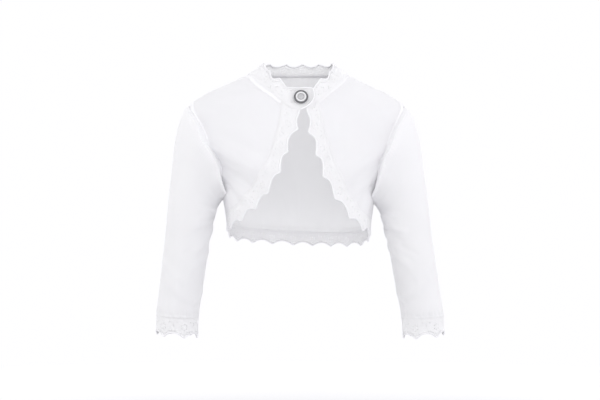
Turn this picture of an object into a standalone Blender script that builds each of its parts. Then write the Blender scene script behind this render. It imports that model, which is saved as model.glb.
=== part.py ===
"""A girl's cropped bolero jacket in white knit, filled out as it is when worn, with nobody in it.

Metres, +Z up. The front faces -Y and the wearer's left is +X. The origin is the middle of the neck
base, level with the inner ends of the shoulder seams, where the wearer's shoulders carry the cloth.

The body of the jacket lies on one smooth surface, made of rings round the torso. A point on it has
an angle (0 at the centre front, 90 at the wearer's left side, 180 at the centre back) and a height.
Every panel and every lace band of the body is a patch of that surface, thickened inwards.
"""

import math

import bmesh
import bpy
import numpy as np
from mathutils import Vector

RIGHT = -1
LEFT = 1
SIDE_NAMES = {RIGHT: "right", LEFT: "left"}

# Cloth
KNIT_THICKNESS = 0.0012
LACE_THICKNESS = 0.0012
SEAM_GAP = 0.00034
MITRE_LIMIT = 0.0024
MITRE_LEAST_SLOPE = 0.05
LEAST_LENGTH = 0.00001
SHARP_ANGLE = 38.0

# Torso rings: height, half width, most forward y, rearmost y, y of the side seam
TORSO_RINGS = (
    (-0.285, 0.1030, -0.0630, 0.0670, 0.004),
    (-0.240, 0.1060, -0.0710, 0.0705, 0.004),
    (-0.200, 0.1108, -0.0795, 0.0750, 0.004),
    (-0.174, 0.1158, -0.0835, 0.0790, 0.004),
    (-0.150, 0.1300, -0.0845, 0.0820, 0.004),
    (-0.125, 0.1450, -0.0820, 0.0840, 0.004),
    (-0.100, 0.1580, -0.0770, 0.0835, 0.004),
    (-0.080, 0.1655, -0.0715, 0.0805, 0.004),
    (-0.066, 0.1680, -0.0670, 0.0780, 0.004),
    (-0.056, 0.1665, -0.0635, 0.0760, 0.005),
    (-0.046, 0.1600, -0.0598, 0.0735, 0.005),
    (-0.030, 0.1396, -0.0540, 0.0680, 0.006),
    (-0.015, 0.1076, -0.0475, 0.0610, 0.007),
    (0.000, 0.0774, -0.0395, 0.0535, 0.009),
    (0.010, 0.0640, -0.0330, 0.0490, 0.010),
    (0.020, 0.0510, -0.0250, 0.0460, 0.011),
    (0.034, 0.0430, -0.0180, 0.0440, 0.012),
)
RING_ROUNDNESS = 2.3

# The jacket hangs a little off its centre line: height, sideways shift
SWAY = (
    (-0.400, 0.0030),
    (-0.240, 0.0004),
    (-0.190, 0.0000),
    (-0.060, -0.0025),
    (-0.030, -0.0035),
    (0.020, 0.0000),
)
FRONT_SHIFT = 0.0055
LEFT_DROOP = 0.0070
DROOP_HALF_WIDTH = 0.110
DROOP_TOP = -0.060
DROOP_BOTTOM = -0.210

# Side and shoulder seams lie at the widest point of each ring
SIDE_ANGLE = 90.0
BACK_ANGLE = 180.0
SHOULDER_STEPS = 4
ARMHOLE_STEPS = 14
SIDE_STEPS = 4
PANEL_STEPS = ARMHOLE_STEPS + SIDE_STEPS
NECK_STEPS_FRONT = 9
NECK_STEPS_BACK = 12
LACE_STEPS_PER_NECK_STEP = 3
FRONT_SEAM_TURN = 0.90
BEND_FADE = 3
LACE_ROWS = 2
LACE_LEAST_WIDTH = 0.004
LINE_STEPS = 12
BACK_LINE_POINTS = 121
SHOULDER_LINE_POINTS = 25
STEPS_PER_SCALLOP = 6
NORMAL_TURN = 0.2
NORMAL_RISE = 0.0002

# Armhole: an oval round the side, from the underarm up to the shoulder tip
ARMHOLE_LOW = -0.1695
ARMHOLE_HIGH = -0.0465
ARMHOLE_FRONT_DEPTH = 36.0
ARMHOLE_BACK_DEPTH = 31.0
ARMHOLE_ROUNDNESS = 2.5

# Neck seam on a front: distance from the centre front, height
NECK_SIDE_HEIGHT = 0.0025
NECK_SEAM_FRONT = (
    (0.0705, -0.0020),
    (0.0590, -0.0160),
    (0.0430, -0.0290),
    (0.0268, -0.0430),
    (0.0140, -0.0525),
)
# Where a front's lace ends under the neckband: distance, height, height of the band's edge there
LACE_TOPS = {
    RIGHT: (0.0010, -0.0555, -0.0225),
    LEFT: (0.0088, -0.0532, -0.0225),
}
NECK_CORNER = 4
# Line of the scallops' valleys on a front of the neckband: distance, height
NECK_EDGE_HEIGHT = 0.0165
NECK_EDGE_FRONT = (
    (0.0500, 0.0100),
    (0.0460, 0.0010),
    (0.0400, -0.0075),
    (0.0310, -0.0125),
    (0.0240, -0.0180),
    (0.0190, -0.0225),
)
# Tab past the centre front: distance and height of its lower edge, then of its top edge
TABS = {
    RIGHT: (
        (-0.0055, -0.0526, -0.0223),
        (-0.0110, -0.0495, -0.0222),
        (-0.0157, -0.0453, -0.0226),
        (-0.0190, -0.0405, -0.0250),
        (-0.0205, -0.0365, -0.0300),
    ),
    LEFT: (
        (-0.0030, -0.0495, -0.0235),
        (-0.0120, -0.0470, -0.0250),
    ),
}
TAB_LIFT = 0.0021
LIFT_FULL = 0.010
LIFT_NONE = 0.056
LIFT_TOP = -0.058
LIFT_BOTTOM = -0.120
# Share of the back neckband's length at each scallop's tip, from the wearer's left
NECK_BACK_TIPS = (-0.100, 0.085, 0.272, 0.457, 0.634, 0.834, 1.020)
NECK_FRONT_SCALLOPS = 3
NECK_LAST_TIP = 4
NECK_TIP = 0.0052
# How far the scallops' tips still reach in the columns past the last whole one
NECK_FRONT_REACH = (0.30, 0.0, 0.0, 0.0)

# Seam between a front and its lace: distance, height
FRONT_SEAM = {
    RIGHT: (
        (0.0268, -0.0430),
        (0.0300, -0.0640),
        (0.0345, -0.0850),
        (0.0410, -0.1060),
        (0.0510, -0.1310),
        (0.0650, -0.1550),
        (0.0815, -0.1790),
        (0.0950, -0.1965),
    ),
    LEFT: (
        (0.0268, -0.0430),
        (0.0300, -0.0640),
        (0.0345, -0.0850),
        (0.0410, -0.1075),
        (0.0510, -0.1335),
        (0.0650, -0.1590),
        (0.0815, -0.1840),
        (0.0950, -0.2010),
    ),
}
SIDE_SEAM_FOOT = -0.2135
# Line of the scallops' valleys down a front edge, in the same columns
FRONT_EDGE = {
    RIGHT: (
        (0.0010, -0.0555),
        (0.0064, -0.0722),
        (0.0106, -0.0805),
        (0.0198, -0.1012),
        (0.0250, -0.1125),
        (0.0296, -0.1285),
        (0.0362, -0.1415),
        (0.0460, -0.1625),
        (0.0539, -0.1725),
        (0.0625, -0.1865),
        (0.0702, -0.1935),
        (0.0835, -0.2065),
        (0.0909, -0.2120),
        (0.0980, -0.2195),
    ),
    LEFT: (
        (0.0088, -0.0532),
        (0.0143, -0.0717),
        (0.0168, -0.0840),
        (0.0229, -0.1045),
        (0.0265, -0.1160),
        (0.0326, -0.1360),
        (0.0366, -0.1460),
        (0.0477, -0.1685),
        (0.0540, -0.1765),
        (0.0680, -0.1940),
        (0.0764, -0.2020),
        (0.0892, -0.2145),
        (0.0970, -0.2195),
    ),
}
SIDE_EDGE_FOOT = -0.2270
# Share of the front edge's length at each scallop's tip
FRONT_TIPS = {
    RIGHT: (0.0, 0.112, 0.250, 0.372, 0.513, 0.628, 0.755, 0.880, 1.0),
    LEFT: (0.0, 0.132, 0.266, 0.392, 0.535, 0.681, 0.815, 0.910, 1.0),
}
FRONT_TIP = 0.0088
FRONT_TIP_GROWTH = 10.0

# Back hem: angle, height of the seam, height of the scallops' valleys
BACK_HEM = (
    (90.0, -0.2135, -0.2270),
    (100.0, -0.2205, -0.2360),
    (118.0, -0.2278, -0.2438),
    (150.0, -0.2326, -0.2472),
    (180.0, -0.2336, -0.2482),
)
# Share of the hem's length at each scallop's tip, from the wearer's left
HEM_TIPS = (0.0, 0.060, 0.144, 0.237, 0.328, 0.426, 0.528, 0.642, 0.750, 0.850, 0.930, 1.0)
HEM_TIP = 0.0062

# Sleeve sections: inner x and z, outer x and z, half depth, y of the middle
SLEEVE_SECTIONS = (
    (0.1202, -0.1745, 0.1675, -0.0565, 0.0470, 0.004),
    (0.1215, -0.1800, 0.1740, -0.0705, 0.0480, 0.004),
    (0.1228, -0.1870, 0.1800, -0.0905, 0.0485, 0.004),
    (0.1238, -0.1960, 0.1848, -0.1170, 0.0480, 0.003),
    (0.1252, -0.2040, 0.1884, -0.1450, 0.0465, 0.002),
    (0.1275, -0.2130, 0.1922, -0.1750, 0.0450, 0.001),
    (0.1307, -0.2250, 0.1958, -0.2080, 0.0430, 0.000),
    (0.1338, -0.2400, 0.1984, -0.2380, 0.0415, -0.001),
    (0.1372, -0.2600, 0.2012, -0.2620, 0.0405, -0.003),
    (0.1404, -0.2830, 0.2040, -0.2860, 0.0395, -0.005),
    (0.1441, -0.3080, 0.2070, -0.3110, 0.0380, -0.008),
    (0.1478, -0.3300, 0.2096, -0.3320, 0.0360, -0.010),
    (0.1508, -0.3480, 0.2118, -0.3470, 0.0345, -0.012),
    (0.1525, -0.3618, 0.2130, -0.3584, 0.0335, -0.013),
)
CUFF_FOOT = (0.1535, -0.3848, 0.2135, -0.3805, 0.0330, -0.015)
CUFF_RISE = 0.0060
CUFF_RISE_TOP = -0.200
CUFF_RISE_BOTTOM = -0.340
ARMHOLE_FADE = (1.0, 0.72, 0.45, 0.25, 0.12, 0.05, 0.01, 0.00)
ARMHOLE_HALF_DEPTH = 0.0465
SCALLOPS_ROUND_CUFF = 6
CUFF_PHASE = {RIGHT: -6.0, LEFT: -4.0}
CUFF_TIP = 0.0080

# Soft folds of the body: side, start angle and height, end angle and height, half width, depth
BODY_FOLDS = (
    (LEFT, 60.0, -0.120, 34.0, -0.172, 0.0110, -0.0030),
    (LEFT, 64.0, -0.142, 48.0, -0.196, 0.0100, -0.0024),
    (LEFT, 58.0, -0.085, 34.0, -0.110, 0.0120, -0.0016),
    (LEFT, 74.0, -0.182, 70.0, -0.212, 0.0080, -0.0016),
    (RIGHT, 62.0, -0.128, 38.0, -0.168, 0.0115, -0.0027),
    (RIGHT, 66.0, -0.150, 50.0, -0.190, 0.0095, -0.0026),
    (RIGHT, 56.0, -0.080, 30.0, -0.118, 0.0120, -0.0018),
    (RIGHT, 76.0, -0.180, 72.0, -0.210, 0.0080, -0.0015),
    (LEFT, 118.0, -0.110, 132.0, -0.190, 0.0120, -0.0028),
    (LEFT, 122.0, -0.070, 150.0, -0.120, 0.0130, -0.0018),
    (LEFT, 152.0, -0.130, 156.0, -0.228, 0.0110, -0.0022),
    (RIGHT, 116.0, -0.120, 128.0, -0.200, 0.0120, -0.0026),
    (RIGHT, 124.0, -0.075, 146.0, -0.135, 0.0130, -0.0020),
    (RIGHT, 160.0, -0.150, 164.0, -0.232, 0.0110, -0.0018),
)
FOLD_RADIUS = 0.105
FOLD_START_SHARE = 0.55

# Soft folds of the sleeves: side, start and end row, start and end angle, half width, depth
SLEEVE_FOLDS = (
    (LEFT, 5.6, 7.2, 160.0, 112.0, 0.0120, -0.0026),
    (LEFT, 6.0, 8.0, 210.0, 250.0, 0.0120, -0.0024),
    (LEFT, 7.0, 8.6, 196.0, 130.0, 0.0080, -0.0024),
    (LEFT, 8.6, 9.8, 176.0, 110.0, 0.0070, -0.0020),
    (LEFT, 10.6, 12.0, 60.0, 130.0, 0.0070, -0.0015),
    (RIGHT, 5.4, 7.0, 158.0, 110.0, 0.0120, -0.0027),
    (RIGHT, 6.0, 7.8, 208.0, 246.0, 0.0120, -0.0024),
    (RIGHT, 7.4, 9.0, 190.0, 124.0, 0.0085, -0.0025),
    (RIGHT, 9.2, 10.2, 180.0, 116.0, 0.0070, -0.0018),
    (RIGHT, 10.8, 12.2, 50.0, 120.0, 0.0070, -0.0014),
)
SLEEVE_ROW_LENGTH = 0.020
SLEEVE_DEGREE_LENGTH = 0.0007

# Button: its place on the tab, its size, and the height of its sunk floor
BUTTON_DISTANCE = -0.0016
BUTTON_HEIGHT = -0.0375
BUTTON_RADIUS = 0.0105
BUTTON_BACK_GAP = 0.0003
BUTTON_SEGMENTS = 28
BUTTON_FLOOR = 0.0014
PART_GAP = 0.0003
# Outline of the bezel: share of the button's radius, height
BEZEL_OUTLINE = (
    (0.00, 0.0000),
    (0.72, 0.0000),
    (0.93, 0.0006),
    (1.00, 0.0018),
    (0.98, 0.0030),
    (0.92, 0.0037),
    (0.84, 0.0036),
    (0.79, 0.0029),
    (0.78, BUTTON_FLOOR),
    (0.00, BUTTON_FLOOR),
)
BEZEL_INSIDE = 0.78
RING_INSIDE = 0.50
RING_OUTER_HEIGHT = 0.0028
RING_CREST_HEIGHT = 0.0036
RING_INNER_HEIGHT = 0.0030
STONE_EDGE_HEIGHT = 0.0028
STONE_TABLE_SHARE = 0.72
STONE_TABLE_HEIGHT = 0.0037
STONE_TOP_HEIGHT = 0.0041
BEZEL_SHARP_ANGLE = 30.0
STONE_SHARP_ANGLE = 12.0


def slopes(keys, values):
    """Slopes for a smooth curve through a table that never overshoots it."""
    steps = np.diff(keys)
    rates = np.diff(values) / steps
    result = np.zeros(len(keys))
    result[0] = rates[0]
    result[-1] = rates[-1]
    for i in range(1, len(keys) - 1):
        if rates[i - 1] * rates[i] > 0:
            before = 2 * steps[i] + steps[i - 1]
            after = steps[i] + 2 * steps[i - 1]
            result[i] = (before + after) / (before / rates[i - 1] + after / rates[i])
    return result


def read(keys, values, at):
    """The table's smooth value at one or more keys."""
    keys = np.asarray(keys, float)
    values = np.asarray(values, float)
    at = np.clip(np.asarray(at, float), keys[0], keys[-1])
    cell = np.clip(np.searchsorted(keys, at, side="right") - 1, 0, len(keys) - 2)
    slope = slopes(keys, values)
    width = keys[cell + 1] - keys[cell]
    t = (at - keys[cell]) / width
    start = (1 + 2 * t) * (1 - t) ** 2 * values[cell] + t * (1 - t) ** 2 * width * slope[cell]
    end = t * t * (3 - 2 * t) * values[cell + 1] + t * t * (t - 1) * width * slope[cell + 1]
    return start + end


def column(table, index):
    return np.array([row[index] for row in table])


def ease(amount):
    """0 below 0, 1 above 1, and a soft step between."""
    amount = np.clip(amount, 0.0, 1.0)
    return amount * amount * (3 - 2 * amount)


def ring(height, index):
    return read(column(TORSO_RINGS, 0), column(TORSO_RINGS, index), height)


def angle_at(distance, height):
    """Angle of the point on the front that lies this far from the centre front."""
    share = np.clip(abs(distance) / ring(height, 1), 0.0, 1.0)
    forward = (1 - share ** RING_ROUNDNESS) ** (1 / RING_ROUNDNESS)
    return math.copysign(math.degrees(math.atan2(share, forward)), distance)


def sway(height):
    return read(column(SWAY, 0), column(SWAY, 1), height)


def droop(x, height):
    """How much lower the cloth hangs towards the wearer's left and towards the hem."""
    across = ease((x + DROOP_HALF_WIDTH) / (2 * DROOP_HALF_WIDTH))
    return LEFT_DROOP * across * ease((DROOP_TOP - height) / (DROOP_TOP - DROOP_BOTTOM))


def plain_surface(angle, height):
    """The torso surface without its folds."""
    sine = np.sin(np.radians(angle))
    cosine = np.cos(np.radians(angle))
    reach = (abs(sine) ** RING_ROUNDNESS + abs(cosine) ** RING_ROUNDNESS) ** (-1 / RING_ROUNDNESS)
    middle = ring(height, 4)
    end = np.where(cosine > 0, ring(height, 2), ring(height, 3))
    x = ring(height, 1) * sine * reach
    y = middle + (end - middle) * abs(cosine) * reach
    drop = droop(x, height)
    shift = np.where(cosine > 0, FRONT_SHIFT * cosine ** 2, 0.0)
    x = x + shift + sway(height)
    return np.stack([x, y, height - drop], axis=-1)


def fold_depth(angle, height):
    """How far the folds move the cloth outwards, at each point of the surface."""
    depth = np.zeros(np.shape(height))
    for side, angle_a, height_a, angle_b, height_b, half_width, amount in BODY_FOLDS:
        start = np.array([np.radians(side * angle_a) * FOLD_RADIUS, height_a])
        run = np.array([np.radians(side * angle_b) * FOLD_RADIUS, height_b]) - start
        away = np.stack([np.radians(angle) * FOLD_RADIUS, height], axis=-1) - start
        along = np.clip(away @ run / (run @ run), 0.0, 1.0)
        gap = np.linalg.norm(away - along[..., None] * run, axis=-1)
        share = FOLD_START_SHARE + (1 - FOLD_START_SHARE) * along
        depth = depth + amount * np.exp(-((gap / half_width) ** 2)) * share
    return depth


def unit(vectors):
    return vectors / np.linalg.norm(vectors, axis=-1, keepdims=True)


def normals_of(surface, angle, height):
    """Outward normals of a surface that is given by angle and height."""
    turn = surface(angle + NORMAL_TURN, height) - surface(angle - NORMAL_TURN, height)
    rise = surface(angle, height + NORMAL_RISE) - surface(angle, height - NORMAL_RISE)
    return unit(np.cross(turn, rise))


def folded_surface(angle, height):
    out = normals_of(plain_surface, angle, height)
    wrapped = (np.asarray(angle) + 180.0) % 360.0 - 180.0
    return plain_surface(angle, height) + out * fold_depth(wrapped, height)[..., None]


def lapped_surface(angle, height):
    """The wearer's right front, which is lifted near the centre to lap over the left."""
    across = -ring(height, 1) * np.sin(np.radians(angle))
    lift = 1 - ease((across - LIFT_FULL) / (LIFT_NONE - LIFT_FULL))
    lift = lift * (1 - ease((LIFT_TOP - height) / (LIFT_TOP - LIFT_BOTTOM)))
    out = normals_of(plain_surface, angle, height)
    return folded_surface(angle, height) + out * (TAB_LIFT * lift)[..., None]


FRONT_SURFACE = {RIGHT: lapped_surface, LEFT: folded_surface}


def smooth_line(knots):
    """A dense smooth line of (angle, height) through its knots, and the index of each knot."""
    knots = np.asarray(knots, float)
    space = plain_surface(knots[:, 0], knots[:, 1])
    steps = np.linalg.norm(np.diff(space, axis=0), axis=1)
    keys = np.concatenate([[0.0], np.cumsum(steps)])
    fine = np.concatenate([np.linspace(keys[i], keys[i + 1], LINE_STEPS, endpoint=False)
                           for i in range(len(keys) - 1)] + [keys[-1:]])
    angles = read(keys, knots[:, 0], fine)
    heights = read(keys, knots[:, 1], fine)
    return np.stack([angles, heights], axis=1)


def pick(line, shares):
    """Points of a dense line at the given shares of its length."""
    space = plain_surface(line[:, 0], line[:, 1])
    steps = np.linalg.norm(np.diff(space, axis=0), axis=1)
    reach = np.concatenate([[0.0], np.cumsum(steps)])
    reach = reach / reach[-1]
    return np.stack([np.interp(shares, reach, line[:, i]) for i in range(2)], axis=1)


def even(line, steps):
    return pick(line, np.linspace(0.0, 1.0, steps + 1))


def armhole(side, depth, toward):
    """Half of an armhole, from the shoulder to the underarm. toward is -1 for front, 1 for back."""
    turn = np.radians(np.linspace(0.0, 180.0, ARMHOLE_STEPS + 1))
    power = 2 / ARMHOLE_ROUNDNESS
    middle = (ARMHOLE_HIGH + ARMHOLE_LOW) / 2
    half = (ARMHOLE_HIGH - ARMHOLE_LOW) / 2
    height = middle + half * np.sign(np.cos(turn)) * abs(np.cos(turn)) ** power
    angle = SIDE_ANGLE + toward * depth * abs(np.sin(turn)) ** power
    return np.stack([side * angle, height], axis=1)


def outer_line(side, depth, toward):
    """Armhole and side seam in one line, from the shoulder down."""
    heights = np.linspace(ARMHOLE_LOW, SIDE_SEAM_FOOT, SIDE_STEPS + 1)[1:]
    flank = [(side * SIDE_ANGLE, height) for height in heights]
    return np.concatenate([armhole(side, depth, toward), flank])


def shoulder_line(side):
    """The shoulder seam, from the armhole to the neck."""
    heights = np.linspace(ARMHOLE_HIGH, NECK_SIDE_HEIGHT, SHOULDER_LINE_POINTS)
    angles = np.full(SHOULDER_LINE_POINTS, side * SIDE_ANGLE)
    return even(np.stack([angles, heights], axis=1), SHOULDER_STEPS)


def front_point(side, distance, height):
    return side * angle_at(distance, height), height


def front_line(side, tables, foot):
    """A line down a front, from its table, ending at the side seam."""
    knots = [front_point(side, distance, height) for distance, height in tables[side]]
    return smooth_line(knots + [(side * SIDE_ANGLE, foot)])


def neck_seam(side):
    """The neck seam on a front, from the shoulder to the centre, and where its corner lies."""
    knots = [(side * SIDE_ANGLE, NECK_SIDE_HEIGHT)]
    knots += [front_point(side, distance, height) for distance, height in NECK_SEAM_FRONT]
    line = smooth_line(knots + [front_point(side, *LACE_TOPS[side][:2])])
    return line, NECK_CORNER * LINE_STEPS


def level_back_line(height):
    """A level line across the back, from the wearer's left side to the right side."""
    angles = np.linspace(SIDE_ANGLE, 2 * BACK_ANGLE - SIDE_ANGLE, BACK_LINE_POINTS)
    return np.stack([angles, np.full(BACK_LINE_POINTS, height)], axis=1)


def hem_line(height_column):
    """A line along the back hem, from the wearer's left side to the right side."""
    line = level_back_line(0.0)
    folded = BACK_ANGLE - abs(line[:, 0] - BACK_ANGLE)
    line[:, 1] = read(column(BACK_HEM, 0), column(BACK_HEM, height_column), folded)
    return line


def patch(left, right, top, bottom):
    """A grid of (angle, height) that fills four border lines. The bends of its ends fade out fast."""
    v = np.linspace(0.0, 1.0, len(left))[:, None, None]
    u = np.linspace(0.0, 1.0, len(top))[:, None]
    sides = (1 - u) * left[:, None] + u * right[:, None]
    top_bend = top - (1 - u) * top[0] - u * top[-1]
    bottom_bend = bottom - (1 - u) * bottom[0] - u * bottom[-1]
    return sides + (1 - v) ** BEND_FADE * top_bend + v ** BEND_FADE * bottom_bend


def cloth(surface, grid, thickness):
    """Outer and inner points of a patch of cloth."""
    outer = surface(grid[..., 0], grid[..., 1])
    out = normals_of(surface, grid[..., 0], grid[..., 1])
    return np.stack([outer, outer - out * thickness])


def pull_in(layers, edge):
    """Draw one border of a piece back from its seam by half the gap."""
    order = {
        "top": lambda a: a, "bottom": lambda a: a[::-1],
        "left": lambda a: a.swapaxes(0, 1), "right": lambda a: a.swapaxes(0, 1)[::-1],
    }[edge]
    outer = order(layers[0])
    along = unit(np.gradient(outer[0], axis=0))
    away = outer[1] - outer[0]
    across = away - (away * along).sum(axis=1, keepdims=True) * along
    size = np.linalg.norm(across, axis=1, keepdims=True)
    step = away / np.maximum(size, LEAST_LENGTH) * (SEAM_GAP / 2)
    step = np.where(size > LEAST_LENGTH, step, 0.0)
    for layer in layers:
        order(layer)[0] += step


def add_object(name, points, faces, made_of):
    """A mesh object from a list of points and faces."""
    mesh = bpy.data.meshes.new(name)
    mesh.from_pydata([tuple(point) for point in points], [], faces)
    draft = bmesh.new()
    draft.from_mesh(mesh)
    bmesh.ops.recalc_face_normals(draft, faces=draft.faces)
    draft.to_mesh(mesh)
    draft.free()
    mesh.materials.append(made_of)
    mesh.shade_smooth()
    mesh.set_sharp_from_angle(angle=math.radians(SHARP_ANGLE))
    bpy.context.collection.objects.link(bpy.data.objects.new(name, mesh))


def cloth_object(name, layers, made_of, closed=False):
    """A closed wall between two layers of points. closed joins the last column to the first."""
    rows, columns = layers[0].shape[:2]
    points = np.concatenate([layer.reshape(-1, 3) for layer in layers])

    def at(layer, row, col):
        return layer * rows * columns + row * columns + col % columns

    faces = []
    spans = columns if closed else columns - 1
    for row in range(rows - 1):
        for col in range(spans):
            faces.append((at(0, row, col), at(0, row + 1, col), at(0, row + 1, col + 1), at(0, row, col + 1)))
            faces.append((at(1, row, col), at(1, row, col + 1), at(1, row + 1, col + 1), at(1, row + 1, col)))
    for col in range(spans):
        last = rows - 1
        faces.append((at(0, 0, col), at(0, 0, col + 1), at(1, 0, col + 1), at(1, 0, col)))
        faces.append((at(0, last, col + 1), at(0, last, col), at(1, last, col), at(1, last, col + 1)))
    if not closed:
        for row in range(rows - 1):
            last = columns - 1
            faces.append((at(0, row + 1, 0), at(0, row, 0), at(1, row, 0), at(1, row + 1, 0)))
            faces.append((at(0, row, last), at(0, row + 1, last), at(1, row + 1, last), at(1, row, last)))
    add_object(name, points, faces, made_of)


def material(name, colour, roughness, metallic=0.0):
    made = bpy.data.materials.new(name)
    made.use_nodes = True
    shader = made.node_tree.nodes["Principled BSDF"]
    shader.inputs["Base Color"].default_value = (*colour, 1.0)
    shader.inputs["Roughness"].default_value = roughness
    shader.inputs["Metallic"].default_value = metallic
    return made


def square_away(border, inner, closed=False):
    """Directions from a border into its piece, square to the border. closed is for a whole ring."""
    if closed:
        along = unit(np.roll(border, -1, axis=0) - np.roll(border, 1, axis=0))
    else:
        along = unit(np.gradient(border, axis=0))
    away = inner - border
    return unit(away - (away * along).sum(axis=-1, keepdims=True) * along)


def mitre(layers, index, seam, away, other_away):
    """Slide one border point of a wall along its cloth until it clears the plane between two walls."""
    plane = unit(away - other_away)
    for layer in layers:
        short = SEAM_GAP / 2 - (layer[index] - seam) @ plane
        if short > 0:
            layer[index] += away * min(short / max(away @ plane, MITRE_LEAST_SLOPE), MITRE_LIMIT)


def armhole_points(side):
    """The whole armhole as a ring of points: down the front, then up the back."""
    front = armhole(side, ARMHOLE_FRONT_DEPTH, -1)
    back = armhole(side, ARMHOLE_BACK_DEPTH, 1)
    front_points = FRONT_SURFACE[side](front[:, 0], front[:, 1])
    back_points = folded_surface(back[:, 0], back[:, 1])
    return np.concatenate([front_points, back_points[-2:0:-1]])


def sleeve_point(side, x, y, z):
    """A point of a sleeve, moved as the body's cloth is, with less droop towards the cuff."""
    fall = droop(side * x, z)
    if side == LEFT:
        fall = fall - CUFF_RISE * ease((CUFF_RISE_TOP - z) / (CUFF_RISE_TOP - CUFF_RISE_BOTTOM))
    return np.array([side * x + float(sway(z)), y, z - fall])


def section(side, row, turn):
    """One oval section of a sleeve. turn runs from the outer arm round the front to the inner arm."""
    inner_x, inner_z, outer_x, outer_z, half_depth, middle_y = row
    inner = sleeve_point(side, inner_x, middle_y, inner_z)
    outer = sleeve_point(side, outer_x, middle_y, outer_z)
    across = (outer - inner) / 2
    forward = np.array([0.0, -half_depth, 0.0])
    return (inner + outer) / 2 + np.cos(turn)[:, None] * across + np.sin(turn)[:, None] * forward


def sleeve_normals(points, side):
    """Outward normals of a tube of rings."""
    around = np.roll(points, -1, axis=1) - np.roll(points, 1, axis=1)
    along = np.gradient(points, axis=0)
    return unit(np.cross(along, around)) * side


def sleeve_fold_depth(side, rows, turn):
    depth = np.zeros((len(rows), len(turn)))
    degrees = np.degrees(turn)
    for fold_side, row_a, row_b, turn_a, turn_b, half_width, amount in SLEEVE_FOLDS:
        if fold_side != side:
            continue
        start = np.array([row_a * SLEEVE_ROW_LENGTH, turn_a * SLEEVE_DEGREE_LENGTH])
        run = np.array([row_b * SLEEVE_ROW_LENGTH, turn_b * SLEEVE_DEGREE_LENGTH]) - start
        for i, row in enumerate(rows):
            for shift in (-360.0, 0.0, 360.0):
                down = np.full(len(turn), row * SLEEVE_ROW_LENGTH)
                spot = np.stack([down, (degrees + shift) * SLEEVE_DEGREE_LENGTH], axis=-1)
                along = np.clip((spot - start) @ run / (run @ run), 0.0, 1.0)
                gap = np.linalg.norm(spot - start - along[:, None] * run, axis=-1)
                depth[i] += amount * np.exp(-((gap / half_width) ** 2))
    return depth


def sleeve_rings(side):
    """Rings of a sleeve from the armhole to the cuff seam."""
    turn = np.radians(np.arange(2 * ARMHOLE_STEPS) * 180.0 / ARMHOLE_STEPS)
    hole = armhole_points(side)
    top = hole[0]
    bottom = hole[ARMHOLE_STEPS]
    middle = (top + bottom) / 2
    forward = np.array([0.0, -ARMHOLE_HALF_DEPTH, 0.0])
    plain = middle + np.cos(turn)[:, None] * (top - bottom) / 2 + np.sin(turn)[:, None] * forward
    rings = [hole]
    fades = list(ARMHOLE_FADE) + [0.0] * len(SLEEVE_SECTIONS)
    for i, row in enumerate(SLEEVE_SECTIONS):
        rings.append(section(side, row, turn) + fades[i + 1] * (hole - plain))
    rings = np.array(rings)
    out = sleeve_normals(rings, side)
    depth = sleeve_fold_depth(side, np.arange(len(rings)), turn)
    depth[0] = 0.0
    depth[-1] = 0.0
    rings = rings + out * depth[..., None]
    return rings, sleeve_normals(rings, side)


def sleeve_directions(rings):
    """Directions away from the armhole seam into a sleeve."""
    return square_away(rings[0], rings[1], closed=True)


def build_sleeve(side, knit):
    rings, out = sleeve_rings(side)
    layers = np.stack([rings, rings - out * KNIT_THICKNESS])
    seam = rings[0].copy()
    away = sleeve_directions(rings)
    panel_away = panel_directions(side)
    for j in range(len(seam)):
        mitre(layers, (0, j), seam[j], away[j], panel_away[j])
    layers[:, -1] -= unit(rings[-1] - rings[-2]) * SEAM_GAP / 2
    cloth_object("sleeve_" + SIDE_NAMES[side], layers, knit, closed=True)


def front_grid(side):
    """A front panel: armhole and side seam, shoulder and neck seam, and the long seam of its lace."""
    line = front_line(side, FRONT_SEAM, SIDE_SEAM_FOOT)
    neck, corner = neck_seam(side)
    top = np.concatenate([shoulder_line(side)[:-1], even(neck[:corner + 1], NECK_STEPS_FRONT)])
    inner = pick(line, np.linspace(0.0, FRONT_SEAM_TURN, PANEL_STEPS + 1))
    bottom = pick(line, np.linspace(1.0, FRONT_SEAM_TURN, len(top)))
    return patch(outer_line(side, ARMHOLE_FRONT_DEPTH, -1), inner, top, bottom)


def back_grid():
    """The back panel, from the wearer's left side across to the right side."""
    left = outer_line(LEFT, ARMHOLE_BACK_DEPTH, 1)
    shoulder = shoulder_line(LEFT)
    neck = even(level_back_line(NECK_SIDE_HEIGHT), NECK_STEPS_BACK)
    top = np.concatenate([shoulder[:-1], neck, across_back(shoulder[:-1])[::-1]])
    bottom = even(hem_line(1), len(top) - 1)
    return patch(left, across_back(left), top, bottom)


def across_back(line):
    """The mirror image of a line, on the other side of the back."""
    return np.stack([2 * BACK_ANGLE - line[:, 0], line[:, 1]], axis=1)


def armhole_away(points, col, step):
    """Directions from the armhole border of a panel into the panel, from shoulder to underarm."""
    last = ARMHOLE_STEPS
    away = square_away(points[:last + 1, col], points[:last + 1, col + step])
    away[0] = unit(points[0, col + step] - points[0, col])
    away[-1] = unit(points[last + 1, col] - points[last, col])
    return away


def panel_directions(side):
    """Directions away from the armhole seam into the panels, in the order of armhole_points."""
    grid = front_grid(side)
    front = FRONT_SURFACE[side](grid[..., 0], grid[..., 1])
    grid = back_grid()
    back = folded_surface(grid[..., 0], grid[..., 1])
    down = armhole_away(front, 0, 1)
    up = armhole_away(back, 0, 1) if side == LEFT else armhole_away(back, -1, -1)
    return np.concatenate([down, up[-2:0:-1]])


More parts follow.
